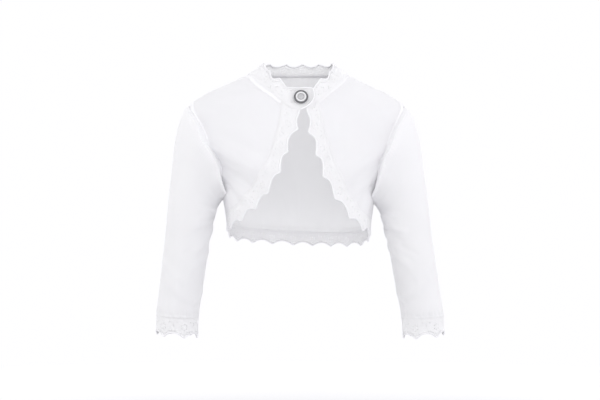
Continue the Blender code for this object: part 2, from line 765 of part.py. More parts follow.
def clear_armhole(layers, side, col, step, forward):
    """Mitre a panel's armhole border against the sleeve."""
    away = armhole_away(layers[0], col, step)
    seam = layers[0][:, col].copy()
    rings, out = sleeve_rings(side)
    sleeve = sleeve_directions(rings)
    for row in range(ARMHOLE_STEPS + 1):
        place = row if forward else -row % (2 * ARMHOLE_STEPS)
        mitre(layers, (row, col), seam[row], away[row], sleeve[place])


def build_front(side, knit):
    layers = cloth(FRONT_SURFACE[side], front_grid(side), KNIT_THICKNESS)
    clear_armhole(layers, side, 0, 1, True)
    pull_in(layers[:, ARMHOLE_STEPS:], "left")
    pull_in(layers, "right")
    pull_in(layers, "top")
    pull_in(layers, "bottom")
    cloth_object("front_panel_" + SIDE_NAMES[side], layers, knit)


def build_back(knit):
    layers = cloth(folded_surface, back_grid(), KNIT_THICKNESS)
    clear_armhole(layers, LEFT, 0, 1, False)
    clear_armhole(layers, RIGHT, -1, -1, False)
    pull_in(layers[:, ARMHOLE_STEPS:], "left")
    pull_in(layers[:, ARMHOLE_STEPS:], "right")
    pull_in(layers, "top")
    pull_in(layers, "bottom")
    cloth_object("back_panel", layers, knit)


def scallops(tips):
    """Shares of an edge and how far out it reaches there, from 0 in a valley to 1 at a tip."""
    shares = []
    reach = []
    for start, end in zip(tips[:-1], tips[1:]):
        for step in range(STEPS_PER_SCALLOP):
            t = step / STEPS_PER_SCALLOP
            shares.append(start + (end - start) * t)
            reach.append((2 * t - 1) ** 2)
    return np.array(shares + [tips[-1]]), np.array(reach + [1.0])


def straighten(layers, every, last):
    """Lay a seam border's points on straight lines between those that it shares with the panel."""
    for start in range(0, last, every):
        for step in range(1, every):
            share = step / every
            ends = (1 - share) * layers[:, 0, start] + share * layers[:, 0, start + every]
            layers[:, 0, start + step] = ends


def reach_at(tips, share):
    """How far a scalloped edge reaches out at one share of its length."""
    for start, end in zip(tips[:-1], tips[1:]):
        if start <= share <= end:
            return (2 * (share - start) / (end - start) - 1) ** 2


def lace_grid(seam, edge, tip):
    """Rows of (angle, height) from a seam out to a scalloped edge. tip is the reach at each column."""
    start = plain_surface(seam[:, 0], seam[:, 1])
    end = plain_surface(edge[:, 0], edge[:, 1])
    width = np.linalg.norm(end - start, axis=1)
    stretch = 1 + tip / np.maximum(width, LACE_LEAST_WIDTH)
    rows = np.linspace(0.0, 1.0, LACE_ROWS + 1)
    return np.stack([seam + (edge - seam) * (row * stretch)[:, None] for row in rows])


def build_front_lace(side, lace):
    shares, reach = scallops(FRONT_TIPS[side])
    seam = pick(front_line(side, FRONT_SEAM, SIDE_SEAM_FOOT), shares)
    edge = pick(front_line(side, FRONT_EDGE, SIDE_EDGE_FOOT), shares)
    reach = reach * np.minimum(1.0, FRONT_TIP_GROWTH * shares)
    grid = lace_grid(seam, edge, FRONT_TIP * reach)
    neck, corner = neck_seam(side)
    grid[:, 0] = even(neck[corner:], LACE_ROWS)
    layers = cloth(FRONT_SURFACE[side], grid, LACE_THICKNESS)
    for border in ("top", "left", "right"):
        pull_in(layers, border)
    cloth_object("front_lace_" + SIDE_NAMES[side], layers, lace)


def build_hem_lace(lace):
    seam = hem_line(1)
    edge = hem_line(2)
    shares, reach = scallops(HEM_TIPS)
    grid = lace_grid(pick(seam, shares), pick(edge, shares), HEM_TIP * reach)
    layers = cloth(folded_surface, grid, LACE_THICKNESS)
    for border in ("top", "left", "right"):
        pull_in(layers, border)
    cloth_object("hem_lace_back", layers, lace)


def build_neckband_back(lace):
    seam = level_back_line(NECK_SIDE_HEIGHT)
    edge = level_back_line(NECK_EDGE_HEIGHT)
    columns = NECK_STEPS_BACK * LACE_STEPS_PER_NECK_STEP
    shares = np.linspace(0.0, 1.0, columns + 1)
    reach = np.array([reach_at(NECK_BACK_TIPS, share) for share in shares])
    grid = lace_grid(pick(seam, shares), pick(edge, shares), NECK_TIP * reach)
    layers = cloth(folded_surface, grid, LACE_THICKNESS)
    straighten(layers, LACE_STEPS_PER_NECK_STEP, columns)
    for border in ("top", "left", "right"):
        pull_in(layers, border)
    cloth_object("neckband_back", layers, lace)


def build_neckband_front(side, lace):
    """Half of the neckband, from the shoulder to the end of its tab."""
    seam, corner = neck_seam(side)
    distance, _, edge_height = LACE_TOPS[side]
    knots = [(side * SIDE_ANGLE, NECK_EDGE_HEIGHT)]
    knots += [front_point(side, *row) for row in NECK_EDGE_FRONT]
    edge = smooth_line(knots + [front_point(side, distance, edge_height)])
    last_tip = NECK_LAST_TIP * LINE_STEPS
    shares, reach = scallops(np.linspace(0.0, 1.0, NECK_FRONT_SCALLOPS + 1))
    edge_points = list(pick(edge[:last_tip + 1], shares))
    seam_points = list(pick(even(seam[:corner + 1], NECK_STEPS_FRONT), shares))
    front = np.linspace(0.0, 1.0, 2 * LACE_ROWS + 1)[1:]
    edge_points += list(pick(edge[last_tip:], front))
    seam_points += list(pick(even(seam[corner:], LACE_ROWS), front))
    reach = list(reach) + list(NECK_FRONT_REACH)
    for distance, low, high in TABS[side]:
        seam_points.append(front_point(side, distance, low))
        edge_points.append(front_point(side, distance, high))
        reach.append(0.0)
    grid = lace_grid(np.array(seam_points), np.array(edge_points), NECK_TIP * np.array(reach))
    layers = cloth(FRONT_SURFACE[side], grid, LACE_THICKNESS)
    straighten(layers, 2, 2 * (NECK_STEPS_FRONT + LACE_ROWS))
    pull_in(layers, "top")
    pull_in(layers, "left")
    cloth_object("neckband_" + SIDE_NAMES[side], layers, lace)


def build_cuff_lace(side, lace):
    """Scalloped lace round the sleeve's end."""
    shares, reach = scallops(np.linspace(0.0, 1.0, SCALLOPS_ROUND_CUFF + 1))
    turn = np.radians(180.0 + CUFF_PHASE[side] + 360.0 * shares[:-1])
    reach = reach[:-1]
    top = section(side, SLEEVE_SECTIONS[-1], turn)
    foot = section(side, CUFF_FOOT, turn)
    down = unit(foot - top)
    edge = foot + down * (CUFF_TIP * reach)[:, None]
    rows = np.linspace(0.0, 1.0, LACE_ROWS + 1)[:, None, None]
    rings = top[None] + (edge - top)[None] * rows
    out = sleeve_normals(rings, side)
    rings[0] += down * SEAM_GAP / 2
    layers = np.stack([rings, rings - out * LACE_THICKNESS])
    cloth_object("cuff_lace_" + SIDE_NAMES[side], layers, lace, closed=True)


def turned(name, profile, place, out, made_of, sharp=BEZEL_SHARP_ANGLE):
    """A ring or disc: a closed profile of (radius, height) turned about the button's axis."""
    mesh = bmesh.new()
    axis = Vector(out)
    side = axis.orthogonal().normalized()
    start = Vector(place)
    points = [start + side * radius + axis * height for radius, height in profile]
    verts = [mesh.verts.new(point) for point in points]
    edges = [mesh.edges.new((verts[i], verts[(i + 1) % len(verts)])) for i in range(len(verts))]
    if profile[0][0] == 0:
        mesh.edges.remove(edges.pop())
    bmesh.ops.spin(mesh, geom=verts + edges, cent=start, axis=axis, steps=BUTTON_SEGMENTS,
                   angle=math.tau, use_merge=False, use_duplicate=False)
    bmesh.ops.remove_doubles(mesh, verts=mesh.verts, dist=1e-6)
    bmesh.ops.recalc_face_normals(mesh, faces=mesh.faces)
    made = bpy.data.meshes.new(name)
    mesh.to_mesh(made)
    mesh.free()
    made.materials.append(made_of)
    made.shade_smooth()
    made.set_sharp_from_angle(angle=math.radians(sharp))
    bpy.context.collection.objects.link(bpy.data.objects.new(name, made))


def build_button(silver, bright, stone):
    """A round stone button: a dark bezel, a bright ring in it, and a cut stone in the middle."""
    angle = np.array([-angle_at(BUTTON_DISTANCE, BUTTON_HEIGHT)])
    height = np.array([BUTTON_HEIGHT])
    out = normals_of(lapped_surface, angle, height)[0]
    place = lapped_surface(angle, height)[0] + out * BUTTON_BACK_GAP
    bezel = [(share * BUTTON_RADIUS, height) for share, height in BEZEL_OUTLINE]
    turned("button_bezel", bezel, place, out, silver)
    low = BUTTON_FLOOR + PART_GAP
    outer = BEZEL_INSIDE * BUTTON_RADIUS - PART_GAP
    inner = RING_INSIDE * BUTTON_RADIUS
    crest = (outer + inner) / 2
    ring_outline = ((inner, low), (outer, low), (outer, RING_OUTER_HEIGHT), (crest, RING_CREST_HEIGHT),
                    (inner, RING_INNER_HEIGHT))
    turned("button_ring", ring_outline, place, out, bright)
    edge = inner - PART_GAP
    gem = ((0.0, low), (edge, low), (edge, STONE_EDGE_HEIGHT),
           (STONE_TABLE_SHARE * edge, STONE_TABLE_HEIGHT), (0.0, STONE_TOP_HEIGHT))
    turned("button_stone", gem, place, out, stone, STONE_SHARP_ANGLE)


def build():
    for obj in list(bpy.data.objects):
        bpy.data.objects.remove(obj, do_unlink=True)
    knit = material("knit", (0.93, 0.93, 0.94), 0.85)
    lace = material("lace", (0.94, 0.94, 0.95), 0.80)
    silver = material("antique_silver", (0.30, 0.30, 0.31), 0.35, 0.9)
    bright = material("bright_ring", (0.85, 0.85, 0.86), 0.20, 0.6)
    stone = material("grey_stone", (0.52, 0.53, 0.55), 0.15, 0.2)
    build_back(knit)
    build_neckband_back(lace)
    build_hem_lace(lace)
    for side in (RIGHT, LEFT):
        build_front(side, knit)
        build_sleeve(side, knit)
        build_neckband_front(side, lace)
        build_front_lace(side, lace)
        build_cuff_lace(side, lace)
    build_button(silver, bright, stone)


build()
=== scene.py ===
"""The looks of the white knit bolero: fine shells of cloth on the part's own form, with creases,
seams, stitches, scalloped lace and a stone button.

Metres, +Z up. The front faces -Y and the wearer's left is +X. A point on the body has an angle
(0 at the centre front, 90 at the wearer's left side, 180 at the centre back) and a height.
"""

import math

import bpy
import numpy as np
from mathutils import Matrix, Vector


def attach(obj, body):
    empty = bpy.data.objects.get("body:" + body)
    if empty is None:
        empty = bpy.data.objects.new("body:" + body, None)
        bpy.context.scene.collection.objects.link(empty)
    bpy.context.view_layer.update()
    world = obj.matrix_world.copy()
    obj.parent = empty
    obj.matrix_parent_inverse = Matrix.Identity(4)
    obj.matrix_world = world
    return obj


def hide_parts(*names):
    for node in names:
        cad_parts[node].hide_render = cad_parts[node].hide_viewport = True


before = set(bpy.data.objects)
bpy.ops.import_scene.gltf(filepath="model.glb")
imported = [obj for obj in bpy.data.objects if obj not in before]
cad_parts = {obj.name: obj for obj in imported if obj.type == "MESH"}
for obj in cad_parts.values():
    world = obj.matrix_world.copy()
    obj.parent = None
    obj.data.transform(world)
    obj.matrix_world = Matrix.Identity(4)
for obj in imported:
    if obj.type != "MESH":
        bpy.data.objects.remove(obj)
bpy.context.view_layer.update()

RIGHT = -1
LEFT = 1
SIDE_NAMES = {RIGHT: "right", LEFT: "left"}

# Cloth
KNIT_THICKNESS = 0.0012
LACE_THICKNESS = 0.0011

# Torso rings: height, half width, most forward y, rearmost y, y of the side seam
TORSO_RINGS = (
    (-0.285, 0.1030, -0.0630, 0.0670, 0.004),
    (-0.240, 0.1060, -0.0710, 0.0705, 0.004),
    (-0.200, 0.1108, -0.0795, 0.0750, 0.004),
    (-0.174, 0.1158, -0.0835, 0.0790, 0.004),
    (-0.150, 0.1300, -0.0845, 0.0820, 0.004),
    (-0.125, 0.1450, -0.0820, 0.0840, 0.004),
    (-0.100, 0.1580, -0.0770, 0.0835, 0.004),
    (-0.080, 0.1655, -0.0715, 0.0805, 0.004),
    (-0.066, 0.1680, -0.0670, 0.0780, 0.004),
    (-0.056, 0.1665, -0.0635, 0.0760, 0.005),
    (-0.046, 0.1600, -0.0598, 0.0735, 0.005),
    (-0.030, 0.1396, -0.0540, 0.0680, 0.006),
    (-0.015, 0.1076, -0.0475, 0.0610, 0.007),
    (0.000, 0.0774, -0.0395, 0.0535, 0.009),
    (0.010, 0.0640, -0.0330, 0.0490, 0.010),
    (0.020, 0.0510, -0.0250, 0.0460, 0.011),
    (0.034, 0.0430, -0.0180, 0.0440, 0.012),
)
RING_ROUNDNESS = 2.3

# The jacket hangs a little off its centre line: height, sideways shift
SWAY = (
    (-0.400, 0.0030), (-0.240, 0.0004), (-0.190, 0.0000), (-0.060, -0.0025), (-0.030, -0.0035),
    (0.020, 0.0000),
)
FRONT_SHIFT = 0.0055
LEFT_DROOP = 0.0070
DROOP_HALF_WIDTH = 0.110
DROOP_TOP = -0.060
DROOP_BOTTOM = -0.210

# How finely the cloth is laid out
SIDE_ANGLE = 90.0
BACK_ANGLE = 180.0
SHOULDER_STEPS = 26
ARMHOLE_STEPS = 84
SIDE_STEPS = 24
PANEL_STEPS = ARMHOLE_STEPS + SIDE_STEPS
NECK_STEPS_FRONT = 54
NECK_STEPS_BACK = 84
FRONT_SEAM_TURN = 0.90
BEND_FADE = 3
SLEEVE_STEPS_PER_ROW = 10
LINE_STEPS = 12
BACK_LINE_POINTS = 121
SHOULDER_LINE_POINTS = 25
LACE_ROWS = 24
LACE_LEAST_WIDTH = 0.004
STEPS_PER_SCALLOP = 36
TIP_ROUNDING = 0.86
NORMAL_TURN = 0.2
NORMAL_RISE = 0.0002
GRAIN_RADIUS = 0.130

# Armhole: an oval round the side, from the underarm up to the shoulder tip
ARMHOLE_LOW = -0.1695
ARMHOLE_HIGH = -0.0465
ARMHOLE_FRONT_DEPTH = 36.0
ARMHOLE_BACK_DEPTH = 31.0
ARMHOLE_ROUNDNESS = 2.5

# Neck seam on a front: distance from the centre front, height
NECK_SIDE_HEIGHT = 0.0025
NECK_SEAM_FRONT = (
    (0.0705, -0.0020), (0.0590, -0.0160), (0.0430, -0.0290), (0.0268, -0.0430), (0.0140, -0.0525),
)
# Where a front's lace ends under the neckband: distance, height, height of the band's edge there
LACE_TOPS = {
    RIGHT: (0.0010, -0.0555, -0.0225),
    LEFT: (0.0088, -0.0532, -0.0225),
}
NECK_CORNER = 4
# Line of the scallops' valleys on a front of the neckband: distance, height
NECK_EDGE_HEIGHT = 0.0165
NECK_EDGE_FRONT = (
    (0.0500, 0.0100), (0.0460, 0.0010), (0.0400, -0.0075), (0.0310, -0.0125), (0.0240, -0.0180),
    (0.0190, -0.0225),
)
# Tab past the centre front: distance and height of its lower edge, then of its top edge
TABS = {
    RIGHT: (
        (-0.0055, -0.0526, -0.0223), (-0.0110, -0.0495, -0.0222), (-0.0157, -0.0453, -0.0226),
        (-0.0190, -0.0405, -0.0250), (-0.0205, -0.0365, -0.0300),
    ),
    LEFT: (
        (-0.0030, -0.0495, -0.0235), (-0.0120, -0.0470, -0.0250),
    ),
}
TAB_LIFT = 0.0021
LIFT_FULL = 0.010
LIFT_NONE = 0.056
LIFT_TOP = -0.058
LIFT_BOTTOM = -0.120
# Share of the back neckband's length at each scallop's tip, from the wearer's left
NECK_BACK_TIPS = (-0.100, 0.085, 0.272, 0.457, 0.634, 0.834, 1.020)
NECK_FRONT_SCALLOPS = 3
NECK_LAST_TIP = 4
NECK_TIP = 0.0052
# How far the scallops' tips still reach in the columns past the last whole one
NECK_FRONT_REACH = (0.30, 0.0, 0.0, 0.0)

# Seam between a front and its lace: distance, height
FRONT_SEAM = {
    RIGHT: (
        (0.0268, -0.0430), (0.0300, -0.0640), (0.0345, -0.0850), (0.0410, -0.1060),
        (0.0510, -0.1310), (0.0650, -0.1550), (0.0815, -0.1790), (0.0950, -0.1965),
    ),
    LEFT: (
        (0.0268, -0.0430), (0.0300, -0.0640), (0.0345, -0.0850), (0.0410, -0.1075),
        (0.0510, -0.1335), (0.0650, -0.1590), (0.0815, -0.1840), (0.0950, -0.2010),
    ),
}
SIDE_SEAM_FOOT = -0.2135
# Line of the scallops' valleys down a front edge, in the same columns
FRONT_EDGE = {
    RIGHT: (
        (0.0010, -0.0555), (0.0064, -0.0722), (0.0106, -0.0805), (0.0198, -0.1012),
        (0.0250, -0.1125), (0.0296, -0.1285), (0.0362, -0.1415), (0.0460, -0.1625),
        (0.0539, -0.1725), (0.0625, -0.1865), (0.0702, -0.1935), (0.0835, -0.2065),
        (0.0909, -0.2120), (0.0980, -0.2195),
    ),
    LEFT: (
        (0.0088, -0.0532), (0.0143, -0.0717), (0.0168, -0.0840), (0.0229, -0.1045),
        (0.0265, -0.1160), (0.0326, -0.1360), (0.0366, -0.1460), (0.0477, -0.1685),
        (0.0540, -0.1765), (0.0680, -0.1940), (0.0764, -0.2020), (0.0892, -0.2145),
        (0.0970, -0.2195),
    ),
}
SIDE_EDGE_FOOT = -0.2270
# Share of the front edge's length at each scallop's tip
FRONT_TIPS = {
    RIGHT: (0.0, 0.112, 0.250, 0.372, 0.513, 0.628, 0.755, 0.880, 1.0),
    LEFT: (0.0, 0.132, 0.266, 0.392, 0.535, 0.681, 0.815, 0.910, 1.0),
}
FRONT_TIP = 0.0088
FRONT_TIP_GROWTH = 10.0

# Back hem: angle, height of the seam, height of the scallops' valleys
BACK_HEM = (
    (90.0, -0.2135, -0.2270), (100.0, -0.2205, -0.2360), (118.0, -0.2278, -0.2438),
    (150.0, -0.2326, -0.2472), (180.0, -0.2336, -0.2482),
)
# Share of the hem's length at each scallop's tip, from the wearer's left
HEM_TIPS = (0.0, 0.060, 0.144, 0.237, 0.328, 0.426, 0.528, 0.642, 0.750, 0.850, 0.930, 1.0)
HEM_TIP = 0.0062

# Sleeve sections: inner x and z, outer x and z, half depth, y of the middle
SLEEVE_SECTIONS = (
    (0.1202, -0.1745, 0.1675, -0.0565, 0.0470, 0.004),
    (0.1215, -0.1800, 0.1740, -0.0705, 0.0480, 0.004),
    (0.1228, -0.1870, 0.1800, -0.0905, 0.0485, 0.004),
    (0.1238, -0.1960, 0.1848, -0.1170, 0.0480, 0.003),
    (0.1252, -0.2040, 0.1884, -0.1450, 0.0465, 0.002),
    (0.1275, -0.2130, 0.1922, -0.1750, 0.0450, 0.001),
    (0.1307, -0.2250, 0.1958, -0.2080, 0.0430, 0.000),
    (0.1338, -0.2400, 0.1984, -0.2380, 0.0415, -0.001),
    (0.1372, -0.2600, 0.2012, -0.2620, 0.0405, -0.003),
    (0.1404, -0.2830, 0.2040, -0.2860, 0.0395, -0.005),
    (0.1441, -0.3080, 0.2070, -0.3110, 0.0380, -0.008),
    (0.1478, -0.3300, 0.2096, -0.3320, 0.0360, -0.010),
    (0.1508, -0.3480, 0.2118, -0.3470, 0.0345, -0.012),
    (0.1525, -0.3618, 0.2130, -0.3584, 0.0335, -0.013),
)
CUFF_FOOT = (0.1535, -0.3848, 0.2135, -0.3805, 0.0330, -0.015)
CUFF_RISE = 0.0060
CUFF_RISE_TOP = -0.200
CUFF_RISE_BOTTOM = -0.340
ARMHOLE_FADE = (1.0, 0.72, 0.45, 0.25, 0.12, 0.05, 0.01, 0.00)
ARMHOLE_HALF_DEPTH = 0.0465
SCALLOPS_ROUND_CUFF = 6
CUFF_PHASE = {RIGHT: -6.0, LEFT: -4.0}
CUFF_TIP = 0.0080

# Soft folds of the body: side, start angle and height, end angle and height, half width, depth
BODY_FOLDS = (
    (RIGHT, 76.0, -0.070, 30.0, -0.136, 0.0150, 0.0050),
    (RIGHT, 70.0, -0.108, 40.0, -0.160, 0.0160, -0.0030),
    (LEFT, 74.0, -0.080, 40.0, -0.128, 0.0150, 0.0016),
    (LEFT, 60.0, -0.120, 34.0, -0.172, 0.0110, -0.0030),
    (LEFT, 64.0, -0.142, 48.0, -0.196, 0.0100, -0.0024),
    (LEFT, 58.0, -0.085, 34.0, -0.110, 0.0120, -0.0016),
    (LEFT, 74.0, -0.182, 70.0, -0.212, 0.0080, -0.0016),
    (RIGHT, 62.0, -0.128, 38.0, -0.168, 0.0115, -0.0027),
    (RIGHT, 66.0, -0.150, 50.0, -0.190, 0.0095, -0.0026),
    (RIGHT, 56.0, -0.080, 30.0, -0.118, 0.0120, -0.0018),
    (RIGHT, 76.0, -0.180, 72.0, -0.210, 0.0080, -0.0015),
    (LEFT, 118.0, -0.110, 132.0, -0.190, 0.0120, -0.0028),
    (LEFT, 122.0, -0.070, 150.0, -0.120, 0.0130, -0.0018),
    (LEFT, 152.0, -0.130, 156.0, -0.228, 0.0110, -0.0022),
    (RIGHT, 116.0, -0.120, 128.0, -0.200, 0.0120, -0.0026),
    (RIGHT, 124.0, -0.075, 146.0, -0.135, 0.0130, -0.0020),
    (RIGHT, 160.0, -0.150, 164.0, -0.232, 0.0110, -0.0018),
)
FOLD_RADIUS = 0.105
FOLD_START_SHARE = 0.55

# Soft folds of the sleeves: side, start and end row, start and end angle, half width, depth
SLEEVE_FOLDS = (
    (LEFT, 5.6, 7.2, 160.0, 112.0, 0.0120, -0.0026),
    (LEFT, 6.0, 8.0, 210.0, 250.0, 0.0120, -0.0024),
    (LEFT, 7.0, 8.6, 196.0, 130.0, 0.0080, -0.0024),
    (LEFT, 8.6, 9.8, 176.0, 110.0, 0.0070, -0.0020),
    (LEFT, 10.6, 12.0, 60.0, 130.0, 0.0070, -0.0015),
    (RIGHT, 5.4, 7.0, 158.0, 110.0, 0.0120, -0.0027),
    (RIGHT, 6.0, 7.8, 208.0, 246.0, 0.0120, -0.0024),
    (RIGHT, 7.4, 9.0, 190.0, 124.0, 0.0085, -0.0025),
    (RIGHT, 9.2, 10.2, 180.0, 116.0, 0.0070, -0.0018),
    (RIGHT, 10.8, 12.2, 50.0, 120.0, 0.0070, -0.0014),
)
SLEEVE_ROW_LENGTH = 0.020
SLEEVE_DEGREE_LENGTH = 0.0007

# Finer creases of the body: side, start angle and height, end angle and height, half width, depth
BODY_CREASES = (
    (RIGHT, 60.0, -0.105, 40.0, -0.140, 0.0050, -0.0011),
    (RIGHT, 57.0, -0.150, 36.0, -0.186, 0.0048, -0.0010),
    (RIGHT, 50.0, -0.100, 24.0, -0.128, 0.0060, 0.0009),
    (RIGHT, 72.0, -0.188, 56.0, -0.204, 0.0042, -0.0009),
    (RIGHT, 40.0, -0.050, 22.0, -0.082, 0.0060, -0.0008),
    (RIGHT, 70.0, -0.046, 42.0, -0.058, 0.0070, 0.0007),
    (LEFT, 58.0, -0.112, 38.0, -0.150, 0.0050, -0.0012),
    (LEFT, 60.0, -0.160, 40.0, -0.182, 0.0046, -0.0010),
    (LEFT, 48.0, -0.090, 22.0, -0.136, 0.0060, 0.0008),
    (LEFT, 74.0, -0.190, 58.0, -0.212, 0.0042, -0.0009),
    (LEFT, 42.0, -0.052, 20.0, -0.078, 0.0065, -0.0008),
    (LEFT, 68.0, -0.044, 40.0, -0.060, 0.0070, 0.0008),
    (LEFT, 112.0, -0.150, 124.0, -0.212, 0.0050, -0.0012),
    (LEFT, 126.0, -0.090, 148.0, -0.150, 0.0055, -0.0010),
    (LEFT, 140.0, -0.160, 146.0, -0.228, 0.0060, 0.0011),
    (LEFT, 132.0, -0.036, 160.0, -0.058, 0.0070, -0.0009),
    (RIGHT, 114.0, -0.140, 122.0, -0.208, 0.0050, -0.0011),
    (RIGHT, 128.0, -0.100, 152.0, -0.146, 0.0055, -0.0010),
    (RIGHT, 146.0, -0.170, 150.0, -0.230, 0.0060, 0.0010),
    (RIGHT, 134.0, -0.040, 162.0, -0.050, 0.0070, -0.0010),
    (RIGHT, 172.0, -0.120, 178.0, -0.205, 0.0080, -0.0010),
)

# Finer creases of the sleeves, in the same columns as the soft folds
SLEEVE_CREASES = (
    (LEFT, 5.0, 6.0, 170.0, 118.0, 0.0050, -0.0013),
    (LEFT, 6.4, 7.4, 168.0, 104.0, 0.0045, -0.0012),
    (LEFT, 7.2, 7.9, 226.0, 262.0, 0.0050, -0.0012),
    (LEFT, 8.2, 9.0, 150.0, 84.0, 0.0050, 0.0009),
    (LEFT, 9.6, 10.6, 30.0, 92.0, 0.0055, -0.0010),
    (LEFT, 11.4, 12.4, 196.0, 146.0, 0.0045, -0.0010),
    (LEFT, 3.0, 4.4, 320.0, 276.0, 0.0060, -0.0010),
    (RIGHT, 4.8, 5.9, 168.0, 116.0, 0.0050, -0.0013),
    (RIGHT, 6.6, 7.6, 166.0, 100.0, 0.0045, -0.0012),
    (RIGHT, 7.0, 7.8, 222.0, 258.0, 0.0050, -0.0012),
    (RIGHT, 8.4, 9.3, 148.0, 88.0, 0.0050, 0.0009),
    (RIGHT, 9.8, 10.8, 26.0, 86.0, 0.0055, -0.0010),
    (RIGHT, 11.6, 12.5, 190.0, 140.0, 0.0045, -0.0010),
    (RIGHT, 3.2, 4.6, 316.0, 270.0, 0.0060, -0.0010),
)

# Seams: how deep the cloth dips into one and how wide, and the small puckers beside it
SEAM_DIP = 0.0005
SEAM_DIP_WIDTH = 0.0022
PUCKER_DEPTH = 0.00022
PUCKER_PITCH = 0.0085
PUCKER_WIDTH = 0.0050
# A second, faster ripple: its share of the first one's height, and its rate
PUCKER_RIPPLE = (0.6, 410.0)
NEAREST_BATCH = 4000
LACE_SEAM_SHARE = 0.22

# Ridges over seams: half width, height, share of both that is lost on the way
NECK_RIDGE = {RIGHT: (0.0032, 0.0007, 0.0), LEFT: (0.0016, 0.00030, 0.0)}
BACK_NECK_RIDGE = (0.0016, 0.0008, 0.0)
INNER_NECK_RIDGE = (0.0020, 0.00035, 0.0)
ARMHOLE_RIDGE = (0.0040, 0.0013, 0.45)
FINE_RIDGE = (0.0009, 0.00055, 0.0)
LACE_SEAM_RIDGE = (0.0012, 0.00025, 0.0)
HEM_RIDGE = (0.0010, 0.00022, 0.0)
CUFF_RIDGE = (0.0026, 0.0009, 0.0)
# Soft cover of the neck seam, right over the line where two pieces meet
SEAM_COVER = (0.0012, 0.00025, 0.0)
RIDGE_SIDES = 10
RIDGE_STEP = 0.0018
# Unevenness of a ridge's height: share, rate along the ridge and start of each wave
RIDGE_WAVES = ((0.10, 620.0, 0.0), (0.08, 233.0, 1.0))
# Towards the ends of a ridge and of a rim: length of the taper, least share of the full size
RIDGE_TAPER = (0.003, 0.25)
RIM_TAPER = (0.0015, 0.4)
# Lines of the grids where ridges and stitches run. A negative one counts from the end
ARMHOLE_RIDGE_COLUMN = 2
ARMHOLE_STITCH_COLUMN = 5
NECK_STITCH_ROW = 4
HEM_STITCH_ROW = -4
CUFF_BAND_RING = -6
CUFF_STITCH_RINGS = (-9, -3)
SLEEVE_GRAIN_WIDTH = 0.250

# Hollow of a sleeve beside its armhole: depth at the shoulder and at the underarm, and its rows
HOLLOW_AT_SHOULDER = 0.0014
HOLLOW_AT_UNDERARM = 0.0170
HOLLOW_BEGINS = 8.0
HOLLOW_FULL = 85.0
HOLLOW_PEAK_ROW = 0.30
HOLLOW_LAST_ROW = 5.0

# Rolled rim of the scallops
RIM_RADIUS = 0.00125
FRONT_RIM_RADIUS = 0.0016
RIM_SWELL = 0.16
RIM_PITCH = 0.0026
RIM_STEP = 0.00065
RIM_SIDES = 8
# How far the rim's middle lies inside the cloth's edge, in its own radii
RIM_INSET = 0.75
RUFFLE = 0.0007

# Stitches: pitch, length, radius, and how wide and how raised each is at its points, in radii
STITCH = (0.0028, 0.0020, 0.00026)
STITCH_WIDTHS = (0.35, 1.0, 1.0, 0.35)
STITCH_RISE = (-0.4, 0.5, 0.5, -0.4)
STITCH_SIDES = 6

# A flower of the lace motif: half width in scallops, middle and half height in band widths
FLOWER_HALF_WIDTH = 0.125
FLOWER_MIDDLE = 0.48
FLOWER_HALF_HEIGHT = 0.165
# Holes at (share of a scallop from its tip, share of the band's width)
ARC_HOLES = [(k / 12.0, 0.835) for k in range(-5, 6)]
FLOWER_HOLES = [(FLOWER_HALF_WIDTH * math.sin(math.radians(turn)),
                 FLOWER_MIDDLE + FLOWER_HALF_HEIGHT * math.cos(math.radians(turn)))
                for turn in range(0, 360, 60)]
LEAF_HOLES = [(0.5, 0.36), (0.5, 0.52), (-0.5, 0.36), (-0.5, 0.52), (0.335, 0.30), (-0.335, 0.30)]
FRONT_HOLES = FLOWER_HOLES + LEAF_HOLES
LACE_HOLES = FRONT_HOLES + ARC_HOLES
HOLE_RADIUS = 0.00075
HOLE_MARGIN = 2
# Raised cords along a band: share of its width, half width, height
CORDS = ((0.035, 0.035, 0.00030), (0.215, 0.030, 0.00022))
# The cord that arches over each scallop: middle, swing, half width, height
ARCH_CORD = (0.70, 0.10, 0.032, 0.00026)
# The fan at the edge: threads in a scallop, where it begins, its rise, its fall, height
FAN = (12, 0.72, 0.08, 0.05, 0.00020)
# Rings round a flower, in its own radii: radius, half width, and the height in metres
FLOWER_RINGS = ((1.55, 0.30, 0.00024), (0.0, 0.42, 0.00034))
# Place in a scallop that the plain tab takes, between the rows of holes
TAB_LOBE = 0.292
NECK_FRONT_STEPS = 24
TAB_STEPS = 8
# Columns over which the top of a front's lace turns to lie under the neckband
LACE_TOP_COLUMNS = 10.0
# Scallops that end this near to the end of a line are taken to end there
TIP_MARGIN = 0.002

# Button
BUTTON_DISTANCE = -0.0016
BUTTON_HEIGHT = -0.0375
BUTTON_RADIUS = 0.0105
BUTTON_BACK_GAP = 0.0003
# Outlines of its rings: radius as a share of the button's, height over its back
BUTTON_FLOOR = 0.0014
STONE_FOOT = 0.0017
STONE_EYE = 0.0005 / BUTTON_RADIUS
BEZEL_OUTLINE = (
    (0.20, 0.0), (0.72, 0.0), (0.90, 0.0005), (0.985, 0.0014), (1.0, 0.0021), (0.985, 0.0029),
    (0.94, 0.0034), (0.88, 0.0036), (0.83, 0.0034), (0.79, 0.0028), (0.78, BUTTON_FLOOR),
    (0.20, BUTTON_FLOOR),
)
RING_OUTLINE = (
    (0.47, STONE_FOOT), (0.755, STONE_FOOT), (0.76, 0.0029), (0.74, 0.0033), (0.62, 0.0036),
    (0.50, 0.0034), (0.475, 0.0030),
)
STONE_OUTLINE = (
    (STONE_EYE, STONE_FOOT), (0.44, STONE_FOOT), (0.445, 0.0027), (0.41, 0.0034), (0.28, 0.0039),
    (0.14, 0.0041), (STONE_EYE, 0.0042),
)
ROUND_SEGMENTS = 96
STONE_FACETS = 12
